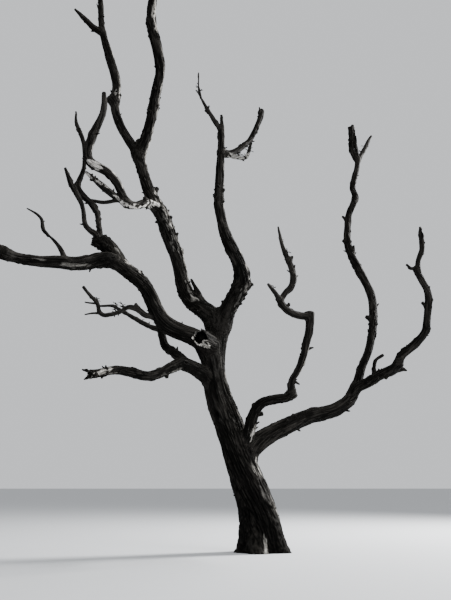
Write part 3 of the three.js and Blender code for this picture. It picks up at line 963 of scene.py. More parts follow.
class Skinner:
    """Carries a skin along each limb, rounds the joins and wears the surface."""

    def __init__(self, tree: Tree, bleaches_and_rim_lights: Sequence[BleachAndRimLight], scars: Sequence[Scar],
                 box: np.ndarray) -> None:
        """Sets out what all skins share.

        Args:
            tree: The limbs.
            bleaches_and_rim_lights: The strips of bare pale wood, partly painted sunlit rims.
            scars: The knots at set places.
            box: The lowest and the highest corner of the solids, which no skin passes.
        """
        self.tree = tree
        self.bleaches_and_rim_lights = bleaches_and_rim_lights
        self.scars = scars
        self.box = box
        self.broad = Noise(Seed.BROAD)
        self.strand = Noise(Seed.STRAND)
        self.rift = Noise(Seed.RIFT)
        self.grit = Noise(Seed.GRIT)

    def cover(self, limb: Limb, grid: Grid = LIMB_GRID) -> Skin:
        """The worn skin of one limb.

        Args:
            limb: The limb.
            grid: The distances wanted between points round it and between rings.

        Returns:
            The closed skin.
        """
        surface = self._lay_rings(limb, grid)
        self._round_joins(limb, surface)
        grain, relief_shade = self._wear(limb, surface)
        pale = self._paleness(limb, surface, relief_shade)
        points = np.clip(surface.points, *self.box)
        if limb.carrier is None:
            points[0, :, 2] = 0.0
        return Skin.of_rings(points, grain, relief_shade, pale)

    def shoot(self, limb: Limb, grid: Grid = SHOOT_GRID, jagged: bool = False) -> Skin:
        """The skin of a thin shoot: it swells at its foot and is lightly ridged.

        Args:
            limb: The shoot.
            grid: The distances wanted between points round it and between rings.
            jagged: Whether its end is snapped off.

        Returns:
            The closed skin.
        """
        surface = self._lay_rings(limb, grid)
        radius = surface.radius
        swell = 0.7 * np.exp(-np.maximum(surface.along, 0.0) / (1.6 * radius[0].max()))
        ridge = self.strand(on_tube(surface.angle, 1.3, surface.along * 22.0 + limb.number * 1.7))
        height = radius * (swell * surface.amount + 0.22 * ridge)
        surface.points = surface.points + surface.outward * height[..., None]
        if jagged:
            ragged = self.rift(surface.outward * 2.3 + limb.number) * surface.amount
            end = smooth_step(0.85, 1.0, surface.along / limb.course.length)
            heading = limb.course.headings(np.array([1.0]))[0]
            surface.points += heading * (ragged * end * radius.mean() * 1.6)[..., None]
        points = np.clip(surface.points, *self.box)
        grain = np.concatenate([surface.outward[..., :2] * radius[..., None],
                                surface.along[..., None] + limb.number * 0.37], -1)
        relief_shade = np.clip(0.5 + 0.5 * ridge, 0.0, 1.0)
        pale = np.full(relief_shade.shape, 0.8 * WEATHERING[limb.wood].paleness)
        if jagged:
            pale = np.maximum(pale, 0.1 * smooth_step(0.8, 0.3, surface.amount))
        return Skin.of_rings(points, grain, relief_shade, pale)

    def _lay_rings(self, limb: Limb, grid: Grid) -> Surface:
        """The plain skin: a ring round each place on the middle line, then the rings of its end.

        A ring's radius is the limb's, times the flare at the ground. At a whole end the radius
        falls as the cosine of an angle whose sine carries the rings on. At a broken end the rings
        rise to a ragged lip and turn down into a hollow.

        Args:
            limb: The limb.
            grid: The distances wanted between points round it and between rings.

        Returns:
            The surface, before joins and wear.
        """
        around, along = grid
        course = limb.course
        start = 0.0 if limb.carrier else limb.ground_share()
        tip = float(limb.radius(1.0))
        rows = max(4, int(course.length * (1.0 - start) / along))
        shares = np.linspace(start, 1.0, rows)
        girth = float(limb.radius(np.linspace(0.1, 1.0, 12)).mean())
        count = int(np.clip(math.tau * girth / around, *RING_SIZES))
        if limb.broken:
            rise, scale, push = LIP_RISE, LIP_WIDTH, LIP_PUSH
        else:
            turn = np.radians(np.linspace(90.0 / TIP_RINGS, 86.0, TIP_RINGS))
            rise, scale, push = turn * 0.0, np.cos(turn), 0.6 * np.sin(turn)
        shares = np.concatenate([shares, np.ones(len(rise))])
        amount = np.concatenate([np.ones(rows), scale])[:, None]
        lip = np.concatenate([np.zeros(rows), rise])[:, None]
        push = np.concatenate([np.zeros(rows), push])[:, None] * tip
        angle = np.linspace(0.0, math.tau, count, endpoint=False)[None].repeat(len(shares), 0)
        heading, zero, ninety = course.frames(shares)
        outward = (zero[:, None] * np.cos(angle)[..., None]
                   + ninety[:, None] * np.sin(angle)[..., None])
        centre = course.at(shares)
        radius = limb.girth(shares)[:, None] * amount
        if limb.flare:
            radius = radius * limb.flare.widening(centre[:, 2][:, None], angle)
        else:
            radius = radius.repeat(count, 1)
        circle = on_tube(angle, 1.0, np.full(angle.shape, limb.number * 3.7))
        ragged = np.clip(0.3 + 1.1 * self.broad(circle * 1.4), 0.0, 1.0) ** 1.4 * 0.7
        ragged = ragged + 0.1 + 0.35 * np.maximum(self.strand(circle * 4.5), 0.0)
        reach = push + lip * ragged * tip
        points = centre[:, None] + outward * radius[..., None] + heading[:, None] * reach[..., None]
        return Surface(points, outward, zero, ninety, shares[:, None] * course.length + reach,
                       angle, radius, amount, lip)

    def _round_joins(self, limb: Limb, surface: Surface) -> None:
        """Moves the skin out to rounded joins with the limbs that grow into it.

        Two distances a and b blend to min(a, b) - k h (1 - h), where h runs from 0 to 1 as b falls
        below a and k is the join's width. The skin moves along the blend's slope to where it is
        zero, which both limbs reach. Past the seam it dips below the other limb's skin.

        Args:
            limb: The limb.
            surface: Its surface, which is changed.
        """
        start = surface.points.reshape(-1, 3)
        outward = surface.outward.reshape(-1, 3)
        kin = []
        depth = np.full(len(start), np.inf)
        for other in self.tree.kin(limb):
            width = max(other, limb, key=self.tree.order.index).collar()
            near = other.near(start, JOIN_REACH * width)
            if not len(near):
                continue
            gap = other.clearance(start[near])[0]
            depth[near] = np.minimum(depth[near], gap / width)
            kin.append((other, width, near[gap < JOIN_REACH * width]))
        held = smooth_step(-0.9, -0.35, depth)
        touched = np.flatnonzero(depth < JOIN_REACH)
        if not len(touched):
            return
        moved = start.copy()
        slope = outward.copy()
        place_of = np.full(len(start), -1)
        place_of[touched] = np.arange(len(touched))
        family = sorted([(limb, 0.0, touched), *kin], key=lambda one: self.tree.order.index(one[0]))
        for _ in range(JOIN_PASSES):
            level = np.full(len(touched), 9.0)
            way = outward[touched].copy()
            for other, _, near in family:
                if other is limb:
                    gap = ((moved - start) * outward).sum(1)[near]
                    out = outward[near]
                else:
                    gap, out = other.clearance(moved[near])
                at = place_of[near]
                width = other.collar()
                share = np.clip(0.5 + 0.5 * (level[at] - gap) / width, 0.0, 1.0)
                level[at] = (level[at] * (1.0 - share) + gap * share
                             - width * share * (1.0 - share))
                way[at] = way[at] * (1.0 - share)[:, None] + out * share[:, None]
            steep = np.maximum((way**2).sum(1), 0.3)
            moved[touched] -= way * (level * held[touched] / steep)[:, None]
            slope[touched] = way
        own = ((moved - start) * outward).sum(1)
        seam, sink = np.zeros(len(start)), np.zeros(len(start))
        # Where there is no join, these give a width of 0.02 and a grain that points outward.
        weight = np.full(len(start), 1e-9)
        join = np.full(len(start), 2e-11)
        shared = 1e-9 * outward
        for other, width, near in kin:
            apart = own[near] - other.clearance(moved[near])[0]
            meets = 1.0 - smooth_step(0.0, 1.1 * width, np.abs(apart))
            first, second = sorted((limb, other), key=self.tree.order.index)
            grain = first.shared_grain(second)
            pull = meets / (1.02 - meets)
            weight[near] += pull
            join[near] += pull * width
            side = np.where(shared[near] @ grain < 0.0, -pull, pull)
            shared[near] += side[:, None] * grain
            seam[near] = np.maximum(seam[near], meets)
            sink[near] = np.maximum(sink[near], np.clip(0.5 * apart, 0.0, 0.35 * width))
        slope = unit(slope)
        moved -= slope * sink[:, None]
        shape = surface.angle.shape
        surface.points = moved.reshape(*shape, 3)
        surface.outward = slope.reshape(*shape, 3)
        surface.seam = seam.reshape(shape)
        surface.join = (join / weight).reshape(shape)
        surface.shared = unit(shared).reshape(*shape, 3)

    def _knots(self, limb: Limb) -> list[Knot]:
        """The knots on a limb: the feet of what it carries, and seeded swellings.

        Args:
            limb: The limb.

        Returns:
            The knots, with `along` in metres.
        """
        course = limb.course
        found = []
        for other in self.tree.carried(limb):
            foot = other.course.at(0.0)
            beyond = other.course.at(min(1.0, 1.5 * float(limb.radius(0.5)) / other.course.length))
            share = course.share_nearest(foot)
            angle = limb.angle_of(beyond - foot, max(share, 0.02))
            found.append(Knot(share * course.length, angle, 0.9 * float(other.radius(0.0))))
        for scar in self.scars:
            if scar.limb == limb.name:
                angle = limb.angle_of(scar.facing, scar.along / course.length)
                found.append(Knot(scar.along, angle, scar.size, scar.height, scar.hollow, scar.squash))
        dealer = np.random.default_rng(Seed.KNOTS + limb.number)
        girth = float(limb.radius(0.5))
        for _ in range(int(course.length * (KNOTS if girth > THIN else KNOTS_ON_THIN))):
            size = min(girth * dealer.uniform(0.25, 0.6), dealer.uniform(0.028, 0.05))
            hollow = 0.9 if dealer.random() < 0.3 and girth > 0.06 else 0.0
            found.append(Knot(dealer.uniform(0.12, 0.96) * course.length,
                              dealer.uniform(0.0, math.tau), size, 0.5, hollow))
        return found

    def _bend_grain(self, limb: Limb, surface: Surface) -> tuple[Grain, np.ndarray, np.ndarray]:
        """Lays out the grain and bends it round the knots.

        It is turned by the wood's twist, and pushed away from each knot by an amount that falls
        off with a bell. A knot has a rim and a middle, both bells of the distance from it counted
        in its own size, less one for its hollow.

        Args:
            limb: The limb.
            surface: Its surface.

        Returns:
            The grain, the height of the knots in metres, and the painted shade in their hollows.
        """
        radius, along = surface.radius, surface.along
        angle = surface.angle + WEATHERING[limb.wood].twist * along
        bumps = np.zeros(angle.shape)
        dark = np.zeros(angle.shape)
        for knot in self._knots(limb):
            across = radius * half_turn(surface.angle - knot.angle)
            far = np.hypot(across, knot.squash * (along - knot.along)) / max(knot.size, 1e-3)
            bend = (far / np.sqrt(far**2 + 1.2) - 1.0) * bell(far / 3.2)
            angle = angle + across * bend / np.maximum(radius, 0.01)
            rim = np.exp(-((far - 0.75) ** 2) / 0.16) + bell(far / 0.6)
            bumps += knot.height * knot.size * (rim - (1.0 + knot.hollow) * bell(far / 0.42))
            # Painted shade in the knot's hollow.
            dark += knot.hollow * bell(far / 0.5)
        circle = np.stack([np.cos(angle), np.sin(angle)], -1)
        return Grain(circle, radius, along, limb.number * 5.31), bumps, dark

    def _wear(self, limb: Limb, surface: Surface) -> tuple[np.ndarray, np.ndarray]:
        """Wears the skin into flutes, strands, cracks, knots and plates of bark.

        Noise that is long along the grain makes the flutes. One less the size of such noise makes
        the ridged strands, and a narrow bell over its zeros makes the cracks. Near a seam all of
        it gives way to noise in space, which both limbs share. The shade that it returns for each
        point is painted shade: dark in furrows, cracks, clefts of the bark, furrows of flutes and
        buttresses, the hollows of knots and the hollow of a broken end.

        Args:
            limb: The limb.
            surface: Its surface, which is changed.

        Returns:
            The place in the grain and the painted shade, from 0 to 1, of each point.
        """
        worn = WEATHERING[limb.wood]
        grain, bumps, dark = self._bend_grain(limb, surface)
        points, radius, along = surface.points, surface.radius, surface.along
        girth = radius.mean()
        big = min(1.0, girth / 0.28)
        flute = grain.fluted(self.broad, 1.5, 0.45, 0.0)
        flute = flute + 0.6 * grain.fluted(self.broad, 3.1, 0.75, 4.0)
        lump = grain.fluted(self.broad, 1.0, 0.33 / max(girth, 0.02), 9.0)
        fine = STRANDS * (STOUT_RADIUS / max(girth, 0.02)) ** FINE_POWER
        ridge = ridged(grain.stranded(self.strand, fine, 0.085, 2.0))
        thread = ridged(grain.stranded(self.strand, 2.1 * fine, 0.09, 6.0))
        split = grain.stranded(self.rift, 0.7 * fine, 0.06, 1.0)
        gate = smooth_step(-0.1, 0.3, grain.stranded(self.broad, 2.2, 0.25, 5.0))
        crack = bell(split / 0.1) * gate
        bark, cleft = np.zeros(along.shape), np.zeros(along.shape)
        if worn.flakes and girth > 0.07:
            patch = self.broad(points * 0.8) + 0.4 * self.broad(points * 2.6 + 7.0)
            bark = smooth_step(0.0, 0.1, patch)
            plates = grain.places(grain.circle * (radius * 24.0)[..., None], along * 3.2)
            cleft = 1.0 - smooth_step(0.04, 0.24, self.rift.borders(plates))
        depth = (girth / STOUT_RADIUS) ** DEPTH_POWER
        strands = ridge + 0.45 * thread
        flutes = 0.4 * worn.flute if limb.flare else worn.flute
        height = radius * (flutes * flute + worn.lump * lump)
        height += worn.strand * depth * (strands - 0.4) - worn.crack * depth * crack
        height += worn.flakes * big * bark * (0.6 - 1.2 * cleft)
        height += bumps
        torn = smooth_step(0.0, 0.3, self.rift(points * 1.9 + 5.0))
        rag = smooth_step(0.1, 0.5, grain.stranded(self.strand, 24.0, 0.4, 8.0))
        height += worn.tatter * torn * rag * (1.0 - 0.6 * big)
        grit = self.grit(points * 46.0)
        folds, common = self._shared_wear(surface)
        seam = surface.seam
        amount = surface.amount**0.7
        height = (height * (1.0 - seam) + common * seam) * amount + worn.grit * grit
        surface.points = points + surface.outward * height[..., None]
        # Painted shade: darker in the furrows between strands, in cracks and in the clefts between
        # plates of bark, lighter on the ridges.
        relief_shade = np.clip(0.42 + 0.44 * ridge + 0.2 * thread, 0.0, 1.0)
        relief_shade = relief_shade * (1.0 - 0.85 * crack) * (1.0 - 0.7 * bark * cleft)
        # Painted shade in the furrows of the flutes, and on the trunk in those of its buttresses.
        flute_shading = flute
        if limb.flare:
            lobe, wide = limb.flare.waves(np.maximum(points[..., 2], 0.0), surface.angle)
            flute_shading = 0.5 * flute + 0.6 * lobe + 0.3 * wide
        relief_shade = relief_shade * (0.5 + 0.5 * smooth_step(-0.8, 0.4, flute_shading))
        relief_shade = relief_shade * (1.0 - seam) + seam * np.clip(0.42 + 0.5 * folds, 0.0, 1.0)
        # Painted shade in the hollows of knots.
        relief_shade = np.clip(relief_shade * (1.0 - np.minimum(dark, 1.0)), 0.0, 1.0)
        # Painted shade inside the hollow of a broken end.
        if limb.broken:
            inside = smooth_step(0.88, 0.8, surface.amount).repeat(relief_shade.shape[1], 1)
            relief_shade = relief_shade * (1.0 - 0.95 * inside)
        return grain.places(grain.circle * radius[..., None], along), relief_shade

    def _shared_wear(self, surface: Surface) -> tuple[np.ndarray, np.ndarray]:
        """The wear near seams, which depends on the place in space alone, so both limbs have it.

        Noise drawn out along the shared grain makes ridged strands, over broad swellings.

        Args:
            surface: A limb's surface.

        Returns:
            The strands from about -1 to 1, and the height in metres.
        """
        width = surface.join
        level = (surface.points * surface.shared).sum(-1)
        drawn = surface.points - surface.shared * (0.88 * level)[..., None]
        fine = (STRANDS * (STOUT_JOIN / np.maximum(width, 0.01)) ** FINE_POWER)[..., None]
        folds = ridged(self.strand(drawn * fine))
        folds = folds + 0.45 - np.abs(self.strand(drawn * fine * 2.1 + 5.0))
        depth = WEATHERING[Wood.BARK].strand * (width / STOUT_JOIN) ** DEPTH_POWER
        broad = self.broad(surface.points / width[..., None])
        return 0.7 * folds, depth * (folds - 0.4) + 0.05 * width * broad

    def _paleness(self, limb: Limb, surface: Surface, relief_shade: np.ndarray) -> np.ndarray:
        """How bare and bleached each point is, from 0 to 1.

        A strip is bare where its half width, which noise and its ends narrow, is more than the
        distance from its middle, and where noise in patches is over its mottle. Strips on edges that
        face right are partly painted sunlit rims. The lip of a broken end is bare too, most on its
        lower left. What lies in furrows is less bare, a painted shade.

        Args:
            limb: The limb.
            surface: Its worn surface.
            relief_shade: The painted shade of each point, dark in its furrows.

        Returns:
            The paleness.
        """
        points, along = surface.points, surface.along
        spots = self.broad(points * 1.7 + 3.0)
        pale = np.clip(WEATHERING[limb.wood].paleness * (1.0 + 0.5 * spots), 0.0, 1.0)
        around = surface.angle * surface.radius
        streak = self.strand(np.stack([around * 26.0, along * 5.0, spots], -1))
        patches = self.rift(points * 13.0) + 0.4 * self.rift(points * 31.0)
        flakes = patches
        if limb.wood is Wood.BARK and not limb.broken:
            drawn = on_tube(surface.angle, surface.radius, 0.3 * along + limb.number)
            flakes = self.rift(drawn * 17.0) + 0.4 * self.rift(drawn * 41.0)
        swing = 1.0 + 0.9 * self.broad(points * 4.3 + 7.0)
        tone = 0.8 + 0.5 * self.strand(np.stack([around * 60.0, along * 9.0, spots], -1))
        # Pale strips: bare pale wood, and on edges that face right partly a painted sunlit rim.
        for bleach_and_rim in self.bleaches_and_rim_lights:
            if bleach_and_rim.limb != limb.name:
                continue
            facing = np.array(bleach_and_rim.facing)
            middle = np.arctan2(surface.ninety @ facing, surface.zero @ facing)[:, None]
            turn = half_turn(surface.angle - middle)
            ends = smooth_step(bleach_and_rim.start - 0.06, bleach_and_rim.start + 0.14, along)
            ends = ends * smooth_step(bleach_and_rim.end + 0.06, bleach_and_rim.end - 0.14, along)
            reach = 0.5 * bleach_and_rim.width * np.sqrt(ends) * (1.0 + 0.9 * streak) * swing
            spot = smooth_step(-0.004, 0.018, reach - np.abs(turn) * surface.radius)
            level = 0.9 * bleach_and_rim.mottle - 0.75
            spot = spot * smooth_step(level, level + 0.25, flakes)
            pale = np.maximum(pale, bleach_and_rim.strength * spot * np.clip(tone, 0.3, 1.0))
        if limb.broken:
            rim = bell((surface.lip - 1.0) / 0.3) * (surface.amount > 0.84)
            low = smooth_step(-0.35, 0.35, surface.outward @ np.array((-0.7, 0.0, -0.7)))
            rim = rim * smooth_step(-0.5, -0.2, patches)
            return np.maximum(pale * (0.4 + 0.6 * relief_shade), (0.1 + 0.9 * low) * rim)
        return pale * (0.4 + 0.6 * relief_shade)


class Graph:
    """A material's nodes, added and joined one at a time."""

    def __init__(self, name: str) -> None:
        """Starts an empty material.

        Args:
            name: Its name.
        """
        self.material = bpy.data.materials.new(name)
        self.material.use_nodes = True
        self.tree = self.material.node_tree
        self.tree.nodes.clear()

    def add(self, kind: str, inputs: dict[str | int, object] | None = None,
            **settings: object) -> bpy.types.Node:
        """Adds a node.

        Args:
            kind: Its type, without the leading ShaderNode.
            inputs: A value or the socket to join, for each input named or numbered.
            **settings: The node's own settings.

        Returns:
            The node.
        """
        node = self.tree.nodes.new("ShaderNode" + kind)
        for key, value in settings.items():
            setattr(node, key, value)
        for key, value in (inputs or {}).items():
            if isinstance(value, bpy.types.NodeSocket):
                self.tree.links.new(value, node.inputs[key])
            else:
                node.inputs[key].default_value = value
        return node

    def sum(self, action: str, first: object, second: object = 0.0,
            third: object = 0.0) -> bpy.types.NodeSocket:
        """A sum worked out on two or three numbers or sockets, held from 0 to 1."""
        node = self.add("Math", {0: first, 1: second, 2: third}, operation=action, use_clamp=True)
        return node.outputs[0]

    def rescaled(self, value: object, given: tuple[float, float],
                 wanted: tuple[float, float] = (0.0, 1.0)) -> bpy.types.NodeSocket:
        """A value carried from the range `given` to the range `wanted`, and held inside it."""
        node = self.add("MapRange", {"Value": value, "From Min": given[0], "From Max": given[1],
                                     "To Min": wanted[0], "To Max": wanted[1]})
        return node.outputs[0]

    def noise(self, place_in: bpy.types.NodeSocket, scale: float | Triple, detail: float = 5.0,
              rough: float = 0.6) -> bpy.types.NodeSocket:
        """Noise at a place.

        Args:
            place_in: The place.
            scale: How fine the noise is, for each axis where they differ.
            detail: How many finer layers it has.
            rough: How strong each layer is beside the one before it.

        Returns:
            The socket of its value, from 0 to 1.
        """
        if isinstance(scale, tuple):
            drawn = self.add("VectorMath", {0: place_in, 1: scale}, operation="MULTIPLY")
            place_in, scale = drawn.outputs[0], 1.0
        node = self.add("TexNoise", {"Vector": place_in, "Scale": scale, "Detail": detail,
                                     "Roughness": rough})
        return node.outputs["Fac"]

    def ramp(self, value: bpy.types.NodeSocket,
             stops: Sequence[tuple[float, Colour]]) -> bpy.types.NodeSocket:
        """A colour for a value.

        Args:
            value: What to look up.
            stops: Values and their colours, rising.

        Returns:
            The colour's socket.
        """
        node = self.add("ValToRGB", {"Fac": value})
        band = node.color_ramp
        while len(band.elements) < len(stops):
            band.elements.new(0.5)
        for element, (position, colour) in zip(band.elements, stops):
            element.position = position
            element.color = (*colour, 1.0)
        return node.outputs["Color"]

    def closed(self, inputs: dict[str, object]) -> bpy.types.Material:
        """The material, with a surface of these inputs joined to its output."""
        shader = self.add("BsdfPrincipled", inputs)
        self.add("OutputMaterial", {"Surface": shader.outputs[0]})
        return self.material

    def mix(self, share: object, first: object, second: object,
            blend: str = "MIX") -> bpy.types.NodeSocket:
        """Two colours mixed by a share."""
        node = self.add("Mix", {0: share, 6: first, 7: second}, data_type="RGBA", blend_type=blend)
        return node.outputs[2]


@dataclass(frozen=True)
class WoodFinish:
    """Dead wood, far darker than real weathered wood: its near-black colours paint the shade of a
    backlit tree. It is dark in its furrows and grey on its ridges, a painted shade, and pale where
    it is bare.

    The streaks, fibres and splits are noise on the skin's place in the grain, drawn out along it;
    the splits are darkened as painted shade in the cracks. Blotches and specks are noise on the
    object's own place. Faces turned up, most on their ridges, are mixed towards grey: partly a
    dusting, partly painted top light. The wood is darker towards the ground, up to a set height.
    """

    name: str
    furrow_shade: Colour
    middle: Colour
    ridge: Colour
    bare_dark: Colour
    bare_light: Colour
    streaks: float = 44.0
    dust_and_top_light: float = 0.25
    darkening_reach: float = 2.2
    roughness: float = 0.82
    bump: float = 0.006

    def build(self) -> bpy.types.Material:
        """Makes the material.

        Returns:
            The material.
        """
        graph = Graph(self.name)
        grain = graph.add("Attribute", attribute_name="grain").outputs["Vector"]
        relief_shade = graph.add("Attribute", attribute_name="relief_shade").outputs["Fac"]
        pale = graph.add("Attribute", attribute_name="pale").outputs["Fac"]
        place_in = graph.add("TexCoord").outputs["Object"]
        fine = self.streaks
        streak = graph.noise(grain, (fine, fine, fine * 0.06), 6.0, 0.62)
        fibre = graph.noise(grain, (fine * 4.5, fine * 4.5, fine * 0.2), 4.0)
        lines = graph.noise(grain, (fine * 1.7, fine * 1.7, fine * 0.05), 2.0)
        apart = graph.add("Math", {0: lines, 1: 0.5}, operation="SUBTRACT").outputs[0]
        split = graph.rescaled(graph.sum("ABSOLUTE", apart), (0.0, 0.03))
        blotch = graph.noise(place_in, 1.3, 5.0, 0.6)
        mottle = graph.noise(place_in, 11.0, 6.0, 0.65)
        # Painted shade: the colour runs from near black in the furrows, where the shade attribute is
        # low, to grey on the ridges.
        shade = graph.sum("MULTIPLY_ADD", relief_shade, 0.55, graph.sum("MULTIPLY", streak, 0.5))
        dark = graph.ramp(shade, ((0.18, self.furrow_shade), (0.52, self.middle), (0.85, self.ridge)))
        cloud = graph.ramp(blotch, ((0.3, (0.55, 0.54, 0.53)), (0.7, WHITE)))
        dark = graph.mix(1.0, dark, cloud, "MULTIPLY")
        spots = graph.ramp(mottle, ((0.35, (0.6, 0.6, 0.6)), (0.62, WHITE)))
        dark = graph.mix(0.7, dark, spots, "MULTIPLY")
        # Darker towards the ground, fading out at a set height.
        above_ground = graph.add("SeparateXYZ", {0: place_in}).outputs["Z"]
        height_share = graph.rescaled(above_ground, (0.0, self.darkening_reach))
        ground_darkening = graph.ramp(height_share, ((0.0, (0.15, 0.15, 0.15)), (1.0, WHITE)))
        dark = graph.mix(1.0, dark, ground_darkening, "MULTIPLY")
        # Faces turned up, most on their ridges, are mixed towards grey: partly a dusting, partly
        # painted top light.
        normal = graph.add("NewGeometry").outputs["Normal"]
        upward = graph.add("SeparateXYZ", {0: normal}).outputs["Z"]
        above = graph.rescaled(upward, (-0.1, 0.9))
        dust_and_top_light_share = graph.sum("MULTIPLY", above, graph.sum("MULTIPLY", relief_shade, self.dust_and_top_light))
        dark = graph.mix(dust_and_top_light_share, dark, (*self.bare_dark, 1.0))
        weathered = graph.sum("MULTIPLY_ADD", streak, 0.75, graph.sum("MULTIPLY", relief_shade, 0.25))
        bare = graph.ramp(weathered, ((0.27, self.bare_dark), (0.56, self.bare_light)))
        bare = graph.mix(0.35, bare, spots, "MULTIPLY")
        shown = graph.sum("MULTIPLY", pale, graph.rescaled(mottle, (0.3, 0.5), (0.72, 1.0)))
        colour = graph.mix(shown, dark, bare)
        # The splits are darkened: painted shade in the hairline cracks.
        split_shade = graph.ramp(split, ((0.0, (0.35, 0.34, 0.33)), (1.0, WHITE)))
        colour = graph.mix(0.8, colour, split_shade, "MULTIPLY")
        height = graph.sum("MULTIPLY_ADD", streak, 0.5, graph.sum("MULTIPLY", fibre, 0.18))
        height = graph.sum("MULTIPLY_ADD", split, 0.25, height)
        bump = graph.add("Bump", {"Strength": 0.9, "Distance": self.bump, "Height": height})
        rough = graph.rescaled(fibre, (0.0, 1.0), (self.roughness - 0.08, self.roughness + 0.12))
        return graph.closed({"Base Color": colour, "Roughness": rough,
                             "Normal": bump.outputs[0], "Specular IOR Level": 0.05})


# The colours are far darker than real weathered wood: painted shade of a backlit tree. The bare
# colours, brightest on the pale wood, partly paint sunlight on bare patches.
BARK_FINISH = WoodFinish("bark_wood", furrow_shade=(0.0008, 0.0007, 0.0006),
                         middle=(0.0064, 0.0059, 0.0052), ridge=(0.037, 0.034, 0.0305),
                         bare_dark=(0.1, 0.092, 0.08), bare_light=(0.66, 0.635, 0.585))
PALE_FINISH = WoodFinish("pale_wood", furrow_shade=(0.0009, 0.0008, 0.0007),
                         middle=(0.0068, 0.0063, 0.0056), ridge=(0.041, 0.0375, 0.0335),
                         bare_dark=(0.14, 0.128, 0.112), bare_light=(0.93, 0.9, 0.85), streaks=60.0)
TWIG_FINISH = WoodFinish("twig_mass", furrow_shade=(0.0009, 0.0008, 0.0007),
                         middle=(0.008, 0.0073, 0.0065), ridge=(0.044, 0.04, 0.0355),
                         bare_dark=(0.1, 0.092, 0.08), bare_light=(0.85, 0.82, 0.76), streaks=90.0,
                         bump=0.003)


# Where the limbs are rough with the stumps of shoots.
BURRS = (
    Burr("right_leader", 3.15, 3.55, 14),
    Burr("right_leader", 0.75, 1.2, 8),
    Burr("left_leader", 2.7, 3.6, 16),
    Burr("left_leader", 0.5, 1.2, 8),
    Burr("left_top_inner", 1.0, 1.3, 6),
    Burr("left_top_outer", 1.7, 2.1, 5),
    Burr("pale_side_branch", 0.6, 1.15, 9),
    Burr("pale_branch", 0.1, 0.5, 5),
    Burr("low_left_bough", 2.8, 3.0, 4),
    Burr("low_left_bough", 3.12, 3.22, 12),
    Burr("broken_stump", 0.5, 0.95, 8),
    Burr("right_far_bough", 0.9, 1.4, 6),
    Burr("inner_bough_low", 1.5, 2.0, 6),
    Burr("twigs_inner_right", 0.4, 1.4, 9),
    Burr("hidden_back_bough", 2.0, 2.6, 6),
)


@dataclass
class LimbGroup:
    """Limbs that belong together. Each becomes one piece over its solid.

    `crotches` names limbs that part from their carrier in a wide or narrow crotch, and its reach
    in radii.
    """

    routes: tuple[Route, ...] = ()
    crotches: tuple[tuple[str, float], ...] = ()
    stub_rate: float = 1.5

    def plant(self, tree: Tree) -> None:
        """Lays the group's limbs out, in order.

        Args:
            tree: What the limbs are added to.
        """
        for route in self.routes:
            tree.plant(route)
        for name, reach in self.crotches:
            tree.limbs[name].blend = reach

    def slot(self, route: Route) -> str:
        """The record's slot for the limb's finish, which has the same name."""
        return PALE_FINISH.name if route.wood is Wood.PALE else BARK_FINISH.name

    def stubs(self, limb: Limb) -> list[Limb]:
        """Seeded stubs of snapped twigs along a limb, a few centimetres long, and more on burrs.

        Args:
            limb: What carries them.

        Returns:
            The stubs.
        """
        dealer = np.random.default_rng(Seed.STUBS + limb.number)
        slim = int(limb.course.length * self.stub_rate)
        shares = [dealer.uniform(*STUB_SHARES) for _ in range(slim)]
        for burr in BURRS:
            if burr.limb == limb.name:
                shares += list(dealer.uniform(burr.start, burr.end, burr.count) / limb.course.length)
        found = []
        for i, share in enumerate(np.array([share]) for share in shares):
            heading, zero, ninety = (one[0] for one in limb.course.frames(share))
            turn = dealer.uniform(0.0, math.tau)
            side = zero * math.cos(turn) + ninety * math.sin(turn)
            girth = float(limb.radius(share)[0])
            longest, broadest = STUB_SIZE if i < slim else BURR_SIZE
            reach = dealer.uniform(0.02, longest) * min(1.0, 0.5 + girth * 5.0)
            thick = dealer.uniform(0.4 * broadest, broadest) * min(girth, 0.1) + 0.008
            foot = limb.course.at(share)[0] + side * girth * 0.7
            away = unit(side + heading * dealer.uniform(0.2, 0.9))
            bend = foot + away * (girth * 0.3 + reach * 0.5)
            tip = bend + unit(away + np.array((0.0, 0.0, 0.3))) * reach * 0.6
            found.append(Limb(f"{limb.name}_stub_{i}", Seed.STUB_SKINS + limb.number * 9 + i,
                              Course(np.array([foot, bend, tip])), (thick * 2.0, thick * 0.85),
                              (0.0, 0.0), limb.wood, limb))
        return found

    def skins(self, limb: Limb, skinner: Skinner) -> list[Skin]:
        """The skins of one limb: itself, its sprigs and its stubs.

        Args:
            limb: The limb.
            skinner: What makes the skins.

        Returns:
            The skins, the limb's own first.
        """
        prefix = f"{limb.name}_sprig"
        sprigs = [one for one in skinner.tree.carried(limb) if one.name.startswith(prefix)]
        found = [skinner.cover(limb)]
        found += [skinner.cover(sprig, SPRIG_GRID) for sprig in sprigs]
        found += [skinner.shoot(stub, STUB_GRID, jagged=True) for stub in self.stubs(limb)]
        return found

    def build(self, skinner: Skinner, finishes: dict[str, bpy.types.Material]) -> None:
        """Builds the group's pieces and sets each on the frame.

        Args:
            skinner: What makes the skins.
            finishes: The materials, by slot.
        """
        for route in self.routes:
            limb = skinner.tree.limbs[route.name]
            slot = self.slot(route)
            skin = Skin.joined(self.skins(limb, skinner))
            piece = skin.to_object(f"{route.name}_wood", finishes[slot])
            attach(piece, "root")
            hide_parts(route.name)
            log.info("%s: %d triangles", piece.name, len(skin.quads) * 2 + len(skin.fans))


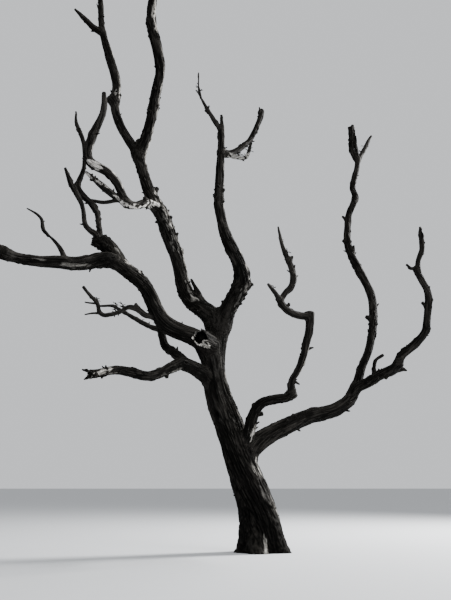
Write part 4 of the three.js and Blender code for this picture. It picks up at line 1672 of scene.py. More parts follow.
@dataclass
class Trunk(LimbGroup):
    """The trunk: it leans as it rises, and swells into buttresses at the ground."""

    routes: tuple[Route, ...] = (
        Route("trunk",
              way=((0, -0.2), (0, 0.1), (-0.05, 0.55), (-0.19, 1.1), (-0.4, 1.7), (-0.68, 2.57),
                   (-0.97, 3.4), (-1.07, 3.9), (-1.05, 4.4), (-0.95, 4.95)),
              thick=(0.9, 0.84, 0.74, 0.66, 0.62, 0.57, 0.52, 0.48, 0.46), back=(0, 0, 0)),
    )
    foot: Flare = Flare()

    def plant(self, tree: Tree) -> None:
        """Lays the trunk out and gives it its foot."""
        super().plant(tree)
        tree.limbs["trunk"].flare = self.foot


@dataclass
class Leaders(LimbGroup):
    """The two leaders that the trunk forks into, their tops, and one at the back."""

    routes: tuple[Route, ...] = (
        Route("left_leader", on="trunk",
              way=((-0.98, 4.72), (-1.08, 5.05), (-1.31, 5.3), (-1.61, 5.53), (-1.78, 5.89),
                   (-1.89, 6.39), (-2.15, 7.19), (-2.29, 7.58), (-2.51, 7.93), (-2.84, 8.89),
                   (-2.9, 9.2)),
              thick=(0.46, 0.41, 0.33, 0.29, 0.31, 0.35, 0.32, 0.27, 0.24, 0.25), back=(0.3, 0.5),
              sprigs=(
                  Sprig(((-1.3, 5.42), (-1.41, 5.62), (-1.52, 5.86), (-1.59, 6)),
                        (0.26, 0.16, 0.09, 0.05)),
                  Sprig(((-2.53, 8.04), (-2.41, 8.22)), (0.2, 0.1)),
              )),
        Route("left_top_outer", on="left_leader",
              way=((-2.88, 9.08), (-3.14, 9.48), (-3.34, 9.84), (-3.49, 10.34), (-3.46, 10.92),
                   (-3.67, 11.7), (-3.88, 12.5), (-3.93, 13.17), (-4.02, 13.6), (-4.13, 13.95)),
              thick=(0.24, 0.2, 0.2, 0.2, 0.21, 0.2, 0.17, 0.14, 0.12, 0.06), back=(0.9, 0.7),
              sprigs=(
                  Sprig(((-3.49, 10.5), (-3.64, 10.51)), (0.36, 0.16)),
                  Sprig(((-3.92, 12.85), (-3.98, 13), (-4.02, 13.12)), (0.06, 0.02)),
              )),
        Route("left_top_spur", on="left_top_outer",
              way=((-3.84, 12.3), (-4.09, 12.47), (-4.28, 12.67), (-4.56, 12.97)),
              thick=(0.18, 0.15, 0.12, 0.05), back=(0.4,)),
        Route("left_top_inner", on="left_leader",
              way=((-2.88, 9.08), (-2.71, 9.5), (-2.6, 9.97), (-2.47, 10.81), (-2.4, 11.24),
                   (-2.45, 11.7), (-2.64, 12.56), (-2.63, 13.17), (-2.57, 13.5), (-2.64, 13.8)),
              thick=(0.26, 0.24, 0.24, 0.23, 0.24, 0.25, 0.24, 0.21, 0.1), back=(-0.5, -0.9)),
        Route("right_leader", on="trunk",
              way=((-0.95, 4.72), (-0.85, 5.05), (-0.7, 5.37), (-0.5, 5.72), (-0.43, 6.05),
                   (-0.5, 6.39), (-0.79, 7.04), (-0.95, 7.8), (-0.93, 8.63), (-0.9, 9.5),
                   (-0.91, 9.76)),
              thick=(0.4, 0.39, 0.37, 0.32, 0.27, 0.23, 0.21, 0.2, 0.17, 0.15),
              back=(-0.6, -1.2, -1.5),
              sprigs=(
                  Sprig(((-0.47, 5.86), (-0.31, 5.87), (-0.16, 5.87)), (0.4, 0.22, 0.02)),
                  Sprig(((-0.42, 6.05), (-0.35, 6.27), (-0.38, 6.46)), (0.2, 0.1, 0.04)),
                  Sprig(((-0.79, 5.25), (-0.88, 5.49)), (0.12, 0.05)),
                  Sprig(((-0.93, 7.85), (-1.06, 8.02)), (0.14, 0.06)),
                  Sprig(((-0.91, 9.65), (-0.89, 9.9), (-0.9, 10.09)), (0.13, 0.09, 0.06)),
              )),
        Route("right_leader_arm", on="right_leader",
              way=((-0.91, 9.12), (-0.7, 9.09), (-0.33, 9.33), (-0.19, 9.49), (0.03, 10),
                   (0.07, 10.2)),
              thick=(0.2, 0.15, 0.12, 0.125, 0.12, 0.14), back=(-0.9, -0.5),
              sprigs=(
                  Sprig(((0.06, 10.08), (0.02, 10.3)), (0.06, 0.03)),
              )),
        Route("hidden_back_leader", on="left_leader",
              way=((-1.7, 5.7), (-1.8, 6.1), (-1.89, 6.45), (-2.02, 6.85), (-2.15, 7.25),
                   (-2.28, 7.6)),
              thick=(0.19, 0.15, 0.12, 0.06), back=(1.5, 2.1, 2.4)),
    )
    crotches: tuple[tuple[str, float], ...] = (
        ("left_top_inner", 1.5), ("right_leader", 0.95), ("right_leader_arm", 0.75),
    )


@dataclass
class PaleBranches(LimbGroup):
    """The bleached branches at the left."""

    routes: tuple[Route, ...] = (
        Route("pale_branch", on="left_leader", wood=Wood.PALE,
              way=((-2.36, 7.68), (-2.65, 7.85), (-2.9, 7.79), (-3.16, 7.84)),
              thick=(0.26, 0.22, 0.17, 0.17), back=(-0.4,)),
        Route("pale_riser", on="pale_branch", wood=Wood.PALE,
              way=((-3.1, 7.83), (-3.24, 8.08), (-3.39, 8.39), (-3.56, 8.59), (-4.03, 8.9),
                   (-4.09, 9.09), (-3.97, 9.6), (-3.75, 10.21), (-3.75, 10.68)),
              thick=(0.17, 0.19, 0.2, 0.22, 0.2, 0.19, 0.15, 0.1), back=(-0.9, -1.4)),
        Route("pale_side_branch", on="pale_branch", wood=Wood.PALE,
              way=((-3.1, 7.83), (-3.4, 8.02), (-3.67, 8.24), (-4.11, 8.63)),
              thick=(0.15, 0.16, 0.15, 0.06), back=(-0.5,),
              sprigs=(
                  Sprig(((-3.28, 7.93), (-3.5, 7.89), (-3.66, 7.87), (-3.99, 7.92)),
                        (0.1, 0.085, 0.08)),
              )),
    )
    crotches: tuple[tuple[str, float], ...] = (("pale_riser", 1.5),)


@dataclass
class LeftBoughs(LimbGroup):
    """The great bough at the left, its arm, and the broken stump and stub."""

    routes: tuple[Route, ...] = (
        Route("left_bough", on="trunk",
              way=((-1.06, 4.1), (-1.35, 4.53), (-1.6, 4.68), (-1.88, 4.79), (-2.13, 4.93),
                   (-2.34, 5.18), (-2.6, 5.75), (-2.8, 5.99), (-3.28, 6.37)),
              thick=(0.48, 0.42, 0.36, 0.37, 0.34, 0.32, 0.32, 0.31), back=(-0.5, -1),
              sprigs=(
                  Sprig(((-2.7, 5.92), (-2.75, 6.19)), (0.16, 0.07)),
              )),
        Route("left_arm", on="left_bough",
              way=((-3.22, 6.35), (-3.47, 6.45), (-3.75, 6.46), (-4.02, 6.4), (-4.28, 6.38),
                   (-4.58, 6.41), (-5.13, 6.43), (-5.69, 6.53), (-5.95, 6.63)),
              thick=(0.29, 0.35, 0.34, 0.31, 0.29, 0.27, 0.25, 0.23, 0.31), back=(-1.7, -2.3),
              sprigs=(
                  Sprig(((-5.9, 6.62), (-6.2, 6.6), (-6.5, 6.56)), (0.18, 0.12, 0.06)),
              )),
        Route("left_arm_end", on="left_arm",
              way=((-5.86, 6.6), (-6.1, 6.73), (-6.36, 6.9), (-6.61, 7.17), (-6.78, 7.5),
                   (-6.82, 7.85)),
              thick=(0.27, 0.23, 0.19, 0.14, 0.06), back=(-2.7,)),
        Route("left_arm_whip", on="left_arm", wood=Wood.TWIG,
              way=((-4.5, 6.42), (-4.61, 6.7), (-4.79, 6.93), (-5.04, 7.18), (-5.11, 7.46),
                   (-5.24, 7.59), (-5.46, 7.72)),
              thick=(0.17, 0.12, 0.09, 0.045, 0.09, 0.08, 0.055, 0.03), back=(-1.4,)),
        Route("broken_stump", on="left_bough", broken=True,
              way=((-3.12, 6.25), (-3.39, 6.62), (-3.6, 6.81), (-3.86, 6.9)),
              thick=(0.28, 0.33, 0.3, 0.2), back=(-0.9,),
              sprigs=(
                  Sprig(((-3.29, 6.5), (-3.47, 6.8), (-3.64, 6.98)), (0.22, 0.26, 0.2)),
              )),
        Route("stump_riser_left", on="broken_stump",
              way=((-3.76, 6.87), (-3.82, 7.07), (-3.96, 7.18), (-4.07, 7.31), (-4.17, 7.8),
                   (-4.46, 8.35), (-4.61, 8.73)),
              thick=(0.16, 0.13, 0.11, 0.1, 0.13, 0.12, 0.06), back=(-1.6,)),
        Route("stump_riser_right", on="broken_stump",
              way=((-3.7, 6.85), (-3.75, 7.26), (-3.85, 7.7), (-4.21, 8.1), (-4.29, 8.27),
                   (-4.17, 8.73), (-4.2, 9.37), (-4.4, 9.92), (-4.41, 10.18)),
              thick=(0.14, 0.12, 0.13, 0.15, 0.11, 0.08, 0.1, 0.09, 0.04), back=(-0.5, 0.2),
              sprigs=(
                  Sprig(((-4.19, 9.3), (-4.1, 9.5), (-4.08, 9.63), (-3.99, 9.78)), (0.05, 0.035)),
              )),
        Route("broken_stub", on="trunk", broken=True,
              way=((-1.04, 4.42), (-1.2, 4.54), (-1.33, 4.62)),
              thick=(0.32, 0.37, 0.38), back=(-0.5,)),
    )


@dataclass
class LowLeftBoughs(LimbGroup):
    """The low bough at the left, snapped off at its end."""

    routes: tuple[Route, ...] = (
        Route("low_left_bough", on="trunk", broken=True,
              way=((-1.04, 3.6), (-1.48, 3.92), (-1.8, 4.04), (-2.04, 3.93), (-2.53, 3.77),
                   (-2.98, 3.87), (-3.25, 3.9), (-3.8, 3.8)),
              thick=(0.38, 0.33, 0.27, 0.21, 0.21, 0.2, 0.18, 0.17), back=(-0.9, -1.7),
              sprigs=(
                  Sprig(((-3.7, 3.82), (-4.01, 3.91)), (0.12, 0.03)),
                  Sprig(((-3.7, 3.79), (-3.96, 3.69)), (0.14, 0.03)),
                  Sprig(((-3.45, 3.86), (-3.57, 3.99)), (0.09, 0.02)),
                  Sprig(((-2.13, 3.86), (-2.11, 3.73)), (0.14, 0.07)),
              )),
        Route("low_left_riser", on="low_left_bough",
              way=((-1.6, 4), (-1.95, 4.29), (-2.15, 4.44), (-2.23, 4.65), (-2.28, 4.9)),
              thick=(0.24, 0.21, 0.18, 0.15), back=(0.1, 0.4)),
    )


@dataclass
class InnerBoughs(LimbGroup):
    """The bough that rises inside the crook of the right one."""

    routes: tuple[Route, ...] = (
        Route("inner_bough_low", on="trunk",
              way=((-0.5, 2.1), (-0.3, 2.5), (-0.19, 2.88), (-0.09, 3.07), (0.05, 3.18), (0.32, 3.25),
                   (0.57, 3.29), (0.72, 3.37)),
              thick=(0.28, 0.26, 0.24, 0.22, 0.21, 0.2, 0.19), back=(-0.5, -0.9),
              sprigs=(
                  Sprig(((-0.1, 3.03), (-0.19, 3.14)), (0.14, 0.08)),
                  Sprig(((-0.24, 2.83), (-0.08, 2.9), (0.01, 2.93)), (0.08, 0.07, 0.1)),
                  Sprig(((0.64, 3.38), (0.6, 3.6)), (0.14, 0.06)),
              )),
        Route("inner_bough_mid", on="inner_bough_low",
              way=((0.66, 3.4), (0.68, 3.65), (0.81, 3.88), (0.94, 4.17), (1.02, 4.51), (1.1, 4.84),
                   (1.12, 5.2)),
              thick=(0.17, 0.14, 0.14, 0.16, 0.18, 0.2), back=(-1.5,),
              sprigs=(
                  Sprig(((0.99, 4.37), (1.18, 4.41)), (0.1, 0.03)),
                  Sprig(((0.7, 3.67), (0.85, 3.58)), (0.1, 0.03)),
              )),
        Route("inner_bough_top", on="inner_bough_mid",
              way=((1.12, 5.13), (0.89, 5.15), (0.67, 5.23), (0.5, 5.39), (0.42, 5.56)),
              thick=(0.18, 0.16, 0.155, 0.15), back=(-1.9,),
              sprigs=(
                  Sprig(((0.58, 5.3), (0.65, 5.43)), (0.1, 0.05)),
              )),
    )


@dataclass
class RightBoughs(LimbGroup):
    """The long bough at the right with its uprights, and one at the back."""

    routes: tuple[Route, ...] = (
        Route("right_bough", on="trunk",
              way=((-0.43, 1.9), (-0.22, 2.2), (0.05, 2.4), (0.36, 2.56), (1.02, 2.86), (1.35, 2.93),
                   (1.66, 3.03), (1.94, 3.22), (2.1, 3.49)),
              thick=(0.46, 0.42, 0.37, 0.33, 0.3, 0.29, 0.27, 0.25), back=(0.3, 0.7)),
        Route("right_upright", on="right_bough",
              way=((2.06, 3.38), (2.17, 3.72), (2.26, 3.97), (2.41, 4.31), (2.55, 4.95), (2.54, 5.6),
                   (2.39, 5.98), (2.1, 6.6), (2.03, 6.92), (2.05, 7.28), (2.09, 7.56), (2.22, 7.88),
                   (2.25, 8.02), (2.2, 8.24), (2.24, 8.44), (2.31, 8.68), (2.35, 8.94)),
              thick=(0.22, 0.17, 0.17, 0.18, 0.18, 0.18, 0.17, 0.15, 0.14, 0.12, 0.11), back=(1.4, 2),
              sprigs=(
                  Sprig(((2.54, 5.04), (2.4, 5.12)), (0.17, 0.08)),
                  Sprig(((2.09, 6.54), (2.17, 6.65), (2.175, 6.8)), (0.1, 0.06, 0.05)),
                  Sprig(((2.03, 6.86), (1.93, 6.93)), (0.1, 0.06)),
                  Sprig(((2.04, 7.4), (1.94, 7.52)), (0.1, 0.05)),
                  Sprig(((2.33, 8.88), (2.235, 9.09), (2.21, 9.3), (2.21, 9.6), (2.215, 9.76)),
                        (0.12, 0.1, 0.1, 0.11, 0.13)),
                  Sprig(((2.215, 9.7), (2.26, 9.83)), (0.1, 0.06)),
              )),
        Route("right_far_bough", on="right_bough",
              way=((1.95, 3.34), (2.12, 3.49), (2.38, 3.62), (2.65, 3.78), (2.91, 3.9), (3.1, 4.04)),
              thick=(0.2, 0.22, 0.22, 0.22, 0.2), back=(0.3, -0.4),
              sprigs=(
                  Sprig(((2.82, 3.86), (3.03, 3.92), (3.17, 3.92), (3.26, 3.89)),
                        (0.22, 0.21, 0.14, 0.03)),
                  Sprig(((2.5, 3.72), (2.53, 3.97), (2.57, 4.12), (2.74, 4.24)),
                        (0.1, 0.09, 0.08, 0.07)),
              )),
        Route("right_far_upright", on="right_far_bough",
              way=((3.03, 3.98), (3.15, 4.22), (3.33, 4.37), (3.55, 4.56), (3.72, 4.79), (3.78, 5.09),
                   (3.84, 5.65), (3.72, 5.96), (3.6, 6.22)),
              thick=(0.2, 0.2, 0.19, 0.17, 0.16, 0.17, 0.15, 0.14), back=(-0.9, -1.3),
              sprigs=(
                  Sprig(((3.82, 5.42), (3.93, 5.52)), (0.1, 0.06)),
                  Sprig(((3.78, 5.3), (3.69, 5.45)), (0.1, 0.06)),
              )),
        Route("right_far_tip", on="right_far_upright",
              way=((3.61, 6.15), (3.65, 6.44), (3.75, 6.7), (3.74, 7.26)),
              thick=(0.16, 0.12, 0.11, 0.12, 0.12, 0.1, 0.04), back=(-1.6,),
              sprigs=(
                  Sprig(((3.63, 6.27), (3.48, 6.26), (3.38, 6.35)), (0.1, 0.07, 0.05)),
              )),
        Route("hidden_back_bough", on="trunk",
              way=((-0.99, 3.45), (-1.06, 3.9), (-1.03, 4.4), (-0.9, 4.9), (-0.72, 5.35),
                   (-0.54, 5.72), (-0.47, 6.05), (-0.54, 6.42), (-0.8, 7.02), (-0.9, 7.5)),
              thick=(0.3, 0.26, 0.22, 0.18, 0.15, 0.11, 0.06), back=(1.3, 2.2, 2.9, 3.1)),
    )


@dataclass
class TwigSprays(LimbGroup):
    """Sprays of bare twigs. Each stem carries twiglets, and all of it grows on into finer ones."""

    routes: tuple[Route, ...] = (
        Route("twigs_right_leader", on="right_leader", wood=Wood.TWIG, twiglets=2,
              way=((-0.91, 9.68), (-1.08, 9.97), (-1.35, 10.46), (-1.44, 10.68), (-1.46, 11.22)),
              thick=(0.12, 0.11, 0.09, 0.045, 0.035, 0.03), back=(-2.1,),
              sprigs=(
                  Sprig(((-1.2, 10.15), (-1.29, 10.22)), (0.09, 0.06)),
                  Sprig(((-1.33, 10.42), (-1.44, 10.63), (-1.52, 10.76)), (0.05, 0.02)),
              )),
        Route("twigs_right_arm", on="right_leader_arm", wood=Wood.PALE, twiglets=2,
              way=((-0.76, 9.1), (-0.57, 9.01), (-0.32, 9), (-0.25, 9.14), (-0.19, 9.37)),
              thick=(0.1, 0.1, 0.09, 0.08, 0.06), back=(-2.1,)),
        Route("twigs_left_mid", on="left_bough", wood=Wood.TWIG, twiglets=3,
              way=((-2.34, 5.08), (-2.6, 5.15), (-2.8, 5.29), (-3.02, 5.34), (-3.2, 5.24),
                   (-3.38, 5.18), (-3.56, 5.16), (-3.67, 5.23), (-3.72, 5.42), (-3.97, 5.7),
                   (-4.06, 5.82)),
              thick=(0.13, 0.13, 0.14, 0.12, 0.09, 0.09, 0.1, 0.09, 0.08, 0.07), back=(-1.2,),
              sprigs=(
                  Sprig(((-2.78, 5.3), (-2.85, 5.42)), (0.13, 0.07)),
                  Sprig(((-3.64, 5.2), (-3.84, 5.2), (-4, 5.17)), (0.06, 0.03)),
                  Sprig(((-3.73, 5.43), (-3.89, 5.44), (-4.01, 5.46)), (0.055, 0.03)),
              )),
        Route("twigs_left_low", on="low_left_riser", wood=Wood.TWIG, twiglets=3,
              way=((-2.27, 4.81), (-2.51, 4.89), (-2.79, 5.04), (-3.22, 5.29), (-3.37, 5.37),
                   (-3.66, 5.37)),
              thick=(0.12, 0.11, 0.1, 0.085, 0.07, 0.05), back=(0.9,)),
        Route("twigs_inner_left", on="inner_bough_top", wood=Wood.TWIG, twiglets=1,
              way=((0.44, 5.52), (0.32, 5.7), (0.18, 5.88)),
              thick=(0.12, 0.1, 0.06), back=(-2.3,)),
        Route("twigs_inner_right", on="inner_bough_top", wood=Wood.TWIG, twiglets=3,
              way=((0.46, 5.48), (0.56, 5.66), (0.69, 5.79), (0.76, 6.01), (0.72, 6.27), (0.52, 6.8),
                   (0.43, 7.26)),
              thick=(0.12, 0.14, 0.16, 0.15, 0.13, 0.1, 0.075, 0.04), back=(-1.5,),
              sprigs=(
                  Sprig(((0.63, 6.42), (0.75, 6.54)), (0.15, 0.06)),
              )),
        Route("twigs_right_top", on="right_upright", wood=Wood.TWIG, twiglets=1,
              way=((2.34, 8.86), (2.42, 9.03), (2.55, 9.27), (2.64, 9.46), (2.7, 9.55)),
              thick=(0.12, 0.1, 0.1, 0.09, 0.05), back=(2.3,)),
    )
    twiglet: Growth = Growth(1)
    shoot: Growth = Growth(3, 0.09, (0.019, 0.009), fine=True)
    tip: Growth = Growth(2, 0.04, (0.009, 0.005), fine=True)
    shoots_per_metre: float = 4.0

    def slot(self, route: Route) -> str:
        """The record's slot for the sprays, whichever it is."""
        return TWIG_FINISH.name

    def skins(self, limb: Limb, skinner: Skinner) -> list[Skin]:
        """The skins of one spray: its stem and sprigs, its twiglets, their shoots and their tips.

        Args:
            limb: The stem.
            skinner: What makes the skins.

        Returns:
            The skins, the stem's own first.
        """
        found = super().skins(limb, skinner)
        growth = replace(self.twiglet, count=limb.twiglets)
        twiglets = lay_shoots(limb, growth, Seed.TWIGLETS + limb.number)
        on_stem = replace(self.shoot, count=int(limb.course.length * self.shoots_per_metre))
        shoots = lay_shoots(limb, on_stem, Seed.STEM_SHOOTS + limb.number)
        for i, twiglet in enumerate(twiglets):
            shoots += lay_shoots(twiglet, self.shoot, Seed.SHOOTS + limb.number * 7 + i)
        tips = []
        for i, shoot in enumerate(shoots):
            tips += lay_shoots(shoot, self.tip, Seed.TIPS + limb.number * 50 + i)
        found += [skinner.shoot(one) for one in twiglets + shoots]
        return found + [skinner.shoot(one, TIP_GRID) for one in tips]


@dataclass(frozen=True)
class Lamp:
    """A square soft light: where it stands, what it faces, its side and its power in watts."""

    name: str
    place_at: Triple
    aim: Triple
    size: float
    power: float

    def build(self) -> None:
        """Adds the light to the scene."""
        light = bpy.data.lights.new(self.name, "AREA")
        light.size = self.size
        light.energy = self.power
        thing = add_object(self.name, light)
        thing.location = self.place_at
        facing = Vector(self.aim) - Vector(self.place_at)
        thing.rotation_euler = facing.to_track_quat("-Z", "Y").to_euler()


@dataclass
class Studio:
    """A pale floor under soft light, and the camera at the photograph's place.

    The camera looks along +Y and up by `tilt` degrees, and sees as far as `sight` metres.
    """

    tilt: float = 13.157
    lens: float = 48.0
    sensor: float = 36.0
    sight: float = 2500.0
    floor_reach: float = 700.0
    floor_colour: Colour = (0.5, 0.51, 0.52)
    sky_colour: Colour = (0.86, 0.88, 0.91)
    sky_strength: float = 0.9
    lamps: tuple[Lamp, ...] = (
        Lamp("key", (15.0, 8.5, 13.0), (-0.5, 0.0, 6.0), 5.0, 19000.0),
        Lamp("fill", (14.0, -15.0, 10.0), (-1.0, 0.0, 6.0), 10.0, 3500.0),
    )

    def build(self) -> None:
        """Makes the floor, the sky, the lights and the camera."""
        self._lay_floor()
        self._light_sky()
        for lamp in self.lamps:
            lamp.build()
        self._set_camera()

    def _lay_floor(self) -> None:
        """Lays the floor: one flat face."""
        corners = [(x * self.floor_reach, y * self.floor_reach, 0.0)
                   for x, y in ((-1, -1), (1, -1), (1, 1), (-1, 1))]
        mesh = bpy.data.meshes.new("floor")
        mesh.from_pydata(corners, [], [(0, 1, 2, 3)])
        mesh.materials.append(Graph("floor").closed({
            "Base Color": (*self.floor_colour, 1.0), "Roughness": 0.85, "Specular IOR Level": 0.2,
        }))
        floor = add_object("floor", mesh)
        floor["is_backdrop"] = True

    def _light_sky(self) -> None:
        """Lights everything softly from all round."""
        world = bpy.data.worlds.new("sky")
        bpy.context.scene.world = world
        world.use_nodes = True
        background = world.node_tree.nodes["Background"]
        background.inputs["Color"].default_value = (*self.sky_colour, 1.0)
        background.inputs["Strength"].default_value = self.sky_strength

    def _set_camera(self) -> None:
        """Sets the camera where the viewer's eye is."""
        camera = add_object("camera", bpy.data.cameras.new("camera"))
        camera.data.lens = self.lens
        camera.data.sensor_width = self.sensor
        camera.data.clip_end = self.sight
        camera.location = VIEWER
        camera.rotation_euler = (math.radians(90.0 + self.tilt), 0.0, 0.0)
        bpy.context.scene.camera = camera


# The strips of bare pale wood: those that the photo shows, and a few on the back. Those on
# edges that face right are partly painted sunlit rims.
BLEACHES_AND_RIM_LIGHTS = (
    BleachAndRimLight("trunk", 0.12, 0.56, (0.06, -1.0, 0.0), 0.068, 1.0, 0.05),
    BleachAndRimLight("trunk", 1.75, 2.75, (0.97, -0.32, 0.27), 0.11, 1.0, 0.3),
    BleachAndRimLight("trunk", 1.0, 1.9, (0.8, -0.55, 0.2), 0.2, 0.12, 0.72),
    BleachAndRimLight("trunk", 0.3, 1.75, (0.97, -0.22, 0.2), 0.045, 0.75, 0.35),
    BleachAndRimLight("trunk", 2.65, 4.2, (0.9, -0.4, 0.3), 0.06, 0.6, 0.5),
    BleachAndRimLight("trunk", 1.3, 2.1, (0.5, -0.85, 0.2), 0.06, 0.3, 0.55),
    BleachAndRimLight("trunk", 3.7, 4.9, (0.3, -0.95, 0.0), 0.22, 0.04, 0.4),
    BleachAndRimLight("trunk", 1.2, 2.7, (-0.4, 1.0, 0.0), 0.13, 0.5, 0.6),
    BleachAndRimLight("left_leader", 0.88, 1.1, (0.25, -0.95, 0.2), 0.11, 0.85, 0.3),
    BleachAndRimLight("left_leader", 1.05, 1.5, (0.5, -0.8, 0.3), 0.09, 0.4, 0.35),
    BleachAndRimLight("left_leader", 1.4, 2.7, (0.95, -0.3, 0.25), 0.055, 0.55, 0.5),
    BleachAndRimLight("left_leader", 2.3, 3.5, (0.5, -0.85, 0.2), 0.19, 0.32, 0.6),
    BleachAndRimLight("left_leader", 2.92, 3.42, (0.75, -0.6, 0.2), 0.15, 0.95, 0.8),
    BleachAndRimLight("left_leader", 3.4, 3.74, (0.3, -0.93, 0.15), 0.06, 1.0, 0.05),
    BleachAndRimLight("left_leader", 3.62, 4.05, (0.85, -0.35, 0.4), 0.08, 1.0, 0.1),
    BleachAndRimLight("left_leader", 3.95, 5.22, (0.95, -0.1, 0.3), 0.045, 0.5, 0.5),
    BleachAndRimLight("left_top_inner", 0.0, 0.95, (0.9, -0.05, -0.35), 0.06, 0.7, 0.45),
    BleachAndRimLight("left_top_inner", 0.9, 2.75, (0.8, -0.35, -0.25), 0.045, 0.65, 0.5),
    BleachAndRimLight("left_top_inner", 2.95, 3.95, (0.7, -0.65, 0.0), 0.09, 1.0, 0.05),
    BleachAndRimLight("left_top_outer", 1.75, 2.5, (0.85, -0.45, 0.1), 0.045, 0.7, 0.45),
    BleachAndRimLight("left_top_outer", 1.88, 2.02, (0.2, -1.0, 0.0), 0.05, 0.9, 0.1),
    BleachAndRimLight("left_top_outer", 3.0, 3.4, (0.9, -0.3, 0.26), 0.05, 0.7, 0.45),
    BleachAndRimLight("pale_branch", 0.0, 0.2, (0.72, -0.62, 0.0), 0.1, 1.0, 0.1),
    BleachAndRimLight("pale_branch", 0.2, 0.44, (0.72, -0.64, 0.15), 0.16, 1.0, 0.66),
    BleachAndRimLight("pale_branch", 0.36, 0.62, (0.7, -0.35, -0.6), 0.13, 1.0, 0.62),
    BleachAndRimLight("pale_branch", 0.66, 0.96, (0.5, -0.42, -0.76), 0.13, 1.0, 0.72),
    BleachAndRimLight("pale_branch", 1.0, 1.5, (0.45, -0.6, -0.66), 0.14, 1.0, 0.5),
    BleachAndRimLight("pale_riser", 1.02, 1.34, (0.05, -0.95, -0.1), 0.2, 1.0, 0.3),
    BleachAndRimLight("pale_riser", 0.8, 1.04, (0.42, -0.62, 0.62), 0.06, 1.0, 0.1),
    BleachAndRimLight("pale_riser", 0.34, 0.8, (0.82, -0.5, 0.28), 0.065, 1.0, 0.05),
    BleachAndRimLight("pale_riser", 1.5, 1.95, (0.95, -0.1, -0.2), 0.05, 0.55, 0.35),
    BleachAndRimLight("pale_side_branch", 0.12, 0.38, (0.0, -0.97, -0.25), 0.1, 1.0, 0.5),
    BleachAndRimLight("pale_side_branch", 0.6, 0.95, (0.35, -0.92, 0.2), 0.06, 1.0, 0.3),
    BleachAndRimLight("pale_side_branch", 0.92, 1.3, (-0.3, -0.75, -0.55), 0.06, 1.0, 0.2),
    BleachAndRimLight("twigs_right_arm", 0.05, 0.75, (0.0, -1.0, -0.1), 0.2, 1.0, 0.6),
    BleachAndRimLight("left_bough", 2.7, 3.1, (0.6, -0.5, 0.6), 0.11, 0.9, 0.35),
    BleachAndRimLight("left_bough", 1.2, 2.6, (0.8, -0.3, 0.8), 0.04, 0.5, 0.55),
    BleachAndRimLight("broken_stump", 0.3, 0.66, (0.42, -0.79, 0.46), 0.035, 0.95, 0.2),
    BleachAndRimLight("broken_stump", 0.68, 0.84, (0.14, -0.85, 0.5), 0.05, 0.8, 0.3),
    BleachAndRimLight("left_arm", 1.72, 1.98, (0.46, -0.88, 0.12), 0.08, 0.35, 0.4),
    BleachAndRimLight("left_arm", 0.8, 1.4, (0.3, -0.7, -0.65), 0.12, 0.25, 0.45),
    BleachAndRimLight("low_left_bough", 3.0, 3.22, (0.62, -0.78, 0.05), 0.12, 1.0, 0.3),
    BleachAndRimLight("low_left_bough", 2.78, 3.04, (0.5, -0.73, 0.45), 0.13, 1.0, 0.25),
    BleachAndRimLight("broken_stub", 0.4, 0.8, (0.3, -0.4, -0.87), 0.13, 1.0, 0.1),
    BleachAndRimLight("low_left_bough", 1.44, 1.82, (0.55, -0.55, -0.6), 0.08, 0.25, 0.4),
    BleachAndRimLight("low_left_bough", 1.1, 1.33, (0.7, -0.38, -0.6), 0.08, 0.5, 0.3),
    BleachAndRimLight("low_left_bough", 2.6, 2.86, (0.6, -0.4, -0.7), 0.06, 0.4, 0.4),
    BleachAndRimLight("right_leader", 0.55, 1.3, (0.7, -0.8, 0.0), 0.12, 0.3, 0.55),
    BleachAndRimLight("right_leader", 1.1, 2.0, (1.0, -0.3, 0.0), 0.065, 0.65, 0.55),
    BleachAndRimLight("right_leader", 2.3, 4.8, (1.0, -0.3, 0.0), 0.035, 0.45, 0.6),
    BleachAndRimLight("inner_bough_low", 0.42, 0.76, (1.0, -0.8, 0.0), 0.15, 1.0, 0.1),
    BleachAndRimLight("inner_bough_mid", 0.5, 1.7, (1.0, -0.4, 0.0), 0.045, 0.5, 0.6),
    BleachAndRimLight("right_bough", 1.0, 2.4, (0.0, 0.6, 1.0), 0.09, 0.35, 0.65),
    BleachAndRimLight("left_arm", 0.5, 2.0, (0.0, 0.5, 1.0), 0.08, 0.35, 0.65),
    BleachAndRimLight("hidden_back_bough", 0.8, 2.4, (0.3, 1.0, 0.3), 0.1, 0.4, 0.65),
)

# The knots at set places.
SCARS = (
    Scar("trunk", 3.28, (-0.51, -0.84, -0.19), 0.1, 0.3, 1.3),
    Scar("trunk", 3.95, (-0.2, -0.97, 0.0), 0.1, 0.12, 2.5, 0.13),
    Scar("trunk", 2.3, (0.75, -0.65, 0.1), 0.09, 0.3, 1.2),
    Scar("trunk", 1.4, (-0.3, 1.0, 0.0), 0.12, 0.3, 1.2),
    Scar("right_leader", 1.35, (0.2, -0.95, -0.2), 0.06, 0.25, 1.6, 0.3),
    Scar("left_bough", 3.0, (-0.2, -0.9, -0.3), 0.05, 0.3, 1.5),
    Scar("left_leader", 3.55, (0.2, -0.95, 0.2), 0.06, 0.3, 1.5, 0.3),
    Scar("right_bough", 2.2, (0.0, -0.9, -0.4), 0.07, 0.3, 1.2),
)


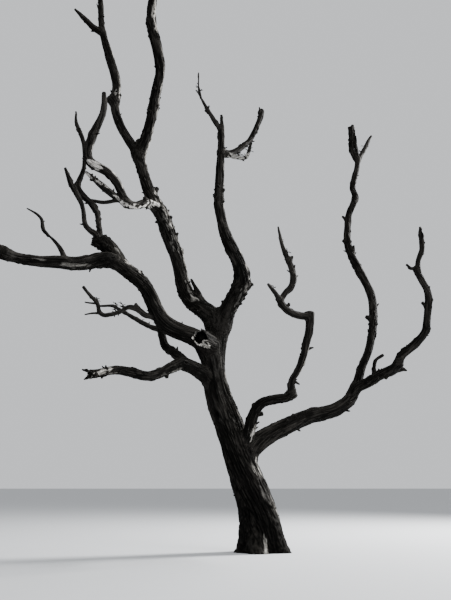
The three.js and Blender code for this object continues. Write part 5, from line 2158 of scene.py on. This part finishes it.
def main() -> None:
    """Builds the tree and its studio."""
    logging.basicConfig(level=logging.INFO, format="%(message)s")
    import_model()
    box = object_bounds()
    Studio().build()
    groups = (Trunk(), Leaders(), PaleBranches(), LeftBoughs(), LowLeftBoughs(), InnerBoughs(),
              RightBoughs(), TwigSprays())
    tree = Tree()
    for group in groups:
        group.plant(tree)
    skinner = Skinner(tree, BLEACHES_AND_RIM_LIGHTS, SCARS, np.array([list(corner) for corner in box]))
    finishes = {one.name: one.build() for one in (BARK_FINISH, PALE_FINISH, TWIG_FINISH)}
    for group in groups:
        group.build(skinner, finishes)
    sizes = {name: [list(corner) for corner in found]
             for name, found in (("cad", box), ("visual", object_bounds()))}
    log.info("sizes %s", sizes)


if __name__ == "__main__":
    main()
